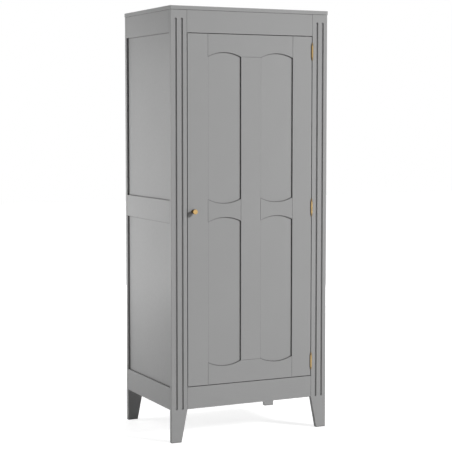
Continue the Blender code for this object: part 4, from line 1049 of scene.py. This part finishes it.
class WARDROBE_OT_build_studio(bpy.types.Operator):
    """Build the pale floor, the soft lamps, the backdrop and the camera"""

    bl_idname = "wardrobe.build_studio"
    bl_label = "Build Studio"

    def execute(self, context):
        scene = context.scene
        studio = scene.wardrobe_studio
        # The floor's top lies a little under the feet, so that no two faces are in one place.
        slab = box_shape((-FLOOR_REACH, -FLOOR_REACH, -20 * MM), (FLOOR_REACH, FLOOR_REACH, -0.2 * MM))
        paint = studio_floor_paint("matt_white_floor", colours_of(context))
        floor = new_piece("studio_floor", finished_mesh(slab, "studio_floor"), paint)

        for name, place, aim, width, height, power_name in LAMPS:
            add_lamp(name, place, aim, width, height, getattr(studio, power_name))

        world = bpy.data.worlds.new("white_backdrop")
        scene.world = world
        world.use_nodes = True
        tree = world.node_tree
        tree.nodes.clear()
        light = add_node(tree, "ShaderNodeBackground", {"Color": WHITE, "Strength": studio.ambient})
        backdrop = add_node(tree, "ShaderNodeBackground", {"Color": WHITE, "Strength": 1.0})
        either = add_node(tree, "ShaderNodeMixShader", {0: sees_backdrop(tree), 1: light, 2: backdrop})
        add_node(tree, "ShaderNodeOutputWorld", {"Surface": either})

        data = bpy.data.cameras.new("studio_camera")
        data.sensor_width = 36.0
        data.lens = studio.lens
        data.shift_y = studio.camera_shift
        data.clip_end = 100
        camera = bpy.data.objects.new("studio_camera", data)
        scene.collection.objects.link(camera)
        camera.location = CAMERA_PLACE
        camera.rotation_euler = (math.radians(90) - studio.camera_tilt, 0.0, -studio.camera_turn)
        scene.camera = camera
        scene.view_settings.view_transform = "Standard"
        return {"FINISHED"}


STEPS = (
    WARDROBE_OT_paint_uprights,
    WARDROBE_OT_paint_rails,
    WARDROBE_OT_paint_panels,
    WARDROBE_OT_paint_boards,
    WARDROBE_OT_make_hinges,
    WARDROBE_OT_make_knob,
    WARDROBE_OT_finish_catch,
    WARDROBE_OT_finish_hanging_rail,
    WARDROBE_OT_drive_batten_screws,
    WARDROBE_OT_build_studio,
)


class WARDROBE_PT_sidebar(bpy.types.Panel):
    """Lists the wardrobe's colours, sizes, lamps and steps"""

    bl_label = "Wardrobe"
    bl_idname = "WARDROBE_PT_sidebar"
    bl_space_type = "VIEW_3D"
    bl_region_type = "UI"
    bl_category = "Wardrobe"

    def draw(self, context):
        scene = context.scene
        for heading, group in (
            ("Colours", scene.wardrobe_colours),
            ("Sizes", scene.wardrobe_sizes),
            ("Studio", scene.wardrobe_studio),
        ):
            box = self.layout.box()
            box.label(text=heading)
            for name in group.__annotations__:
                box.prop(group, name)
        for step in STEPS:
            self.layout.operator(step.bl_idname)


CLASSES = (WardrobeColours, WardrobeSizes, WardrobeStudio) + STEPS + (WARDROBE_PT_sidebar,)


def register():
    for cls in CLASSES:
        bpy.utils.register_class(cls)
    bpy.types.Scene.wardrobe_colours = bpy.props.PointerProperty(type=WardrobeColours)
    bpy.types.Scene.wardrobe_sizes = bpy.props.PointerProperty(type=WardrobeSizes)
    bpy.types.Scene.wardrobe_studio = bpy.props.PointerProperty(type=WardrobeStudio)


def unregister():
    del bpy.types.Scene.wardrobe_studio
    del bpy.types.Scene.wardrobe_sizes
    del bpy.types.Scene.wardrobe_colours
    for cls in reversed(CLASSES):
        bpy.utils.unregister_class(cls)


def main():
    register()
    bpy.ops.wardrobe.paint_uprights()
    bpy.ops.wardrobe.paint_rails()
    bpy.ops.wardrobe.paint_panels()
    bpy.ops.wardrobe.paint_boards()
    bpy.ops.wardrobe.make_hinges()
    bpy.ops.wardrobe.make_knob()
    bpy.ops.wardrobe.finish_catch()
    bpy.ops.wardrobe.finish_hanging_rail()
    bpy.ops.wardrobe.drive_batten_screws()
    bpy.ops.wardrobe.build_studio()


if __name__ == "__main__":
    main()
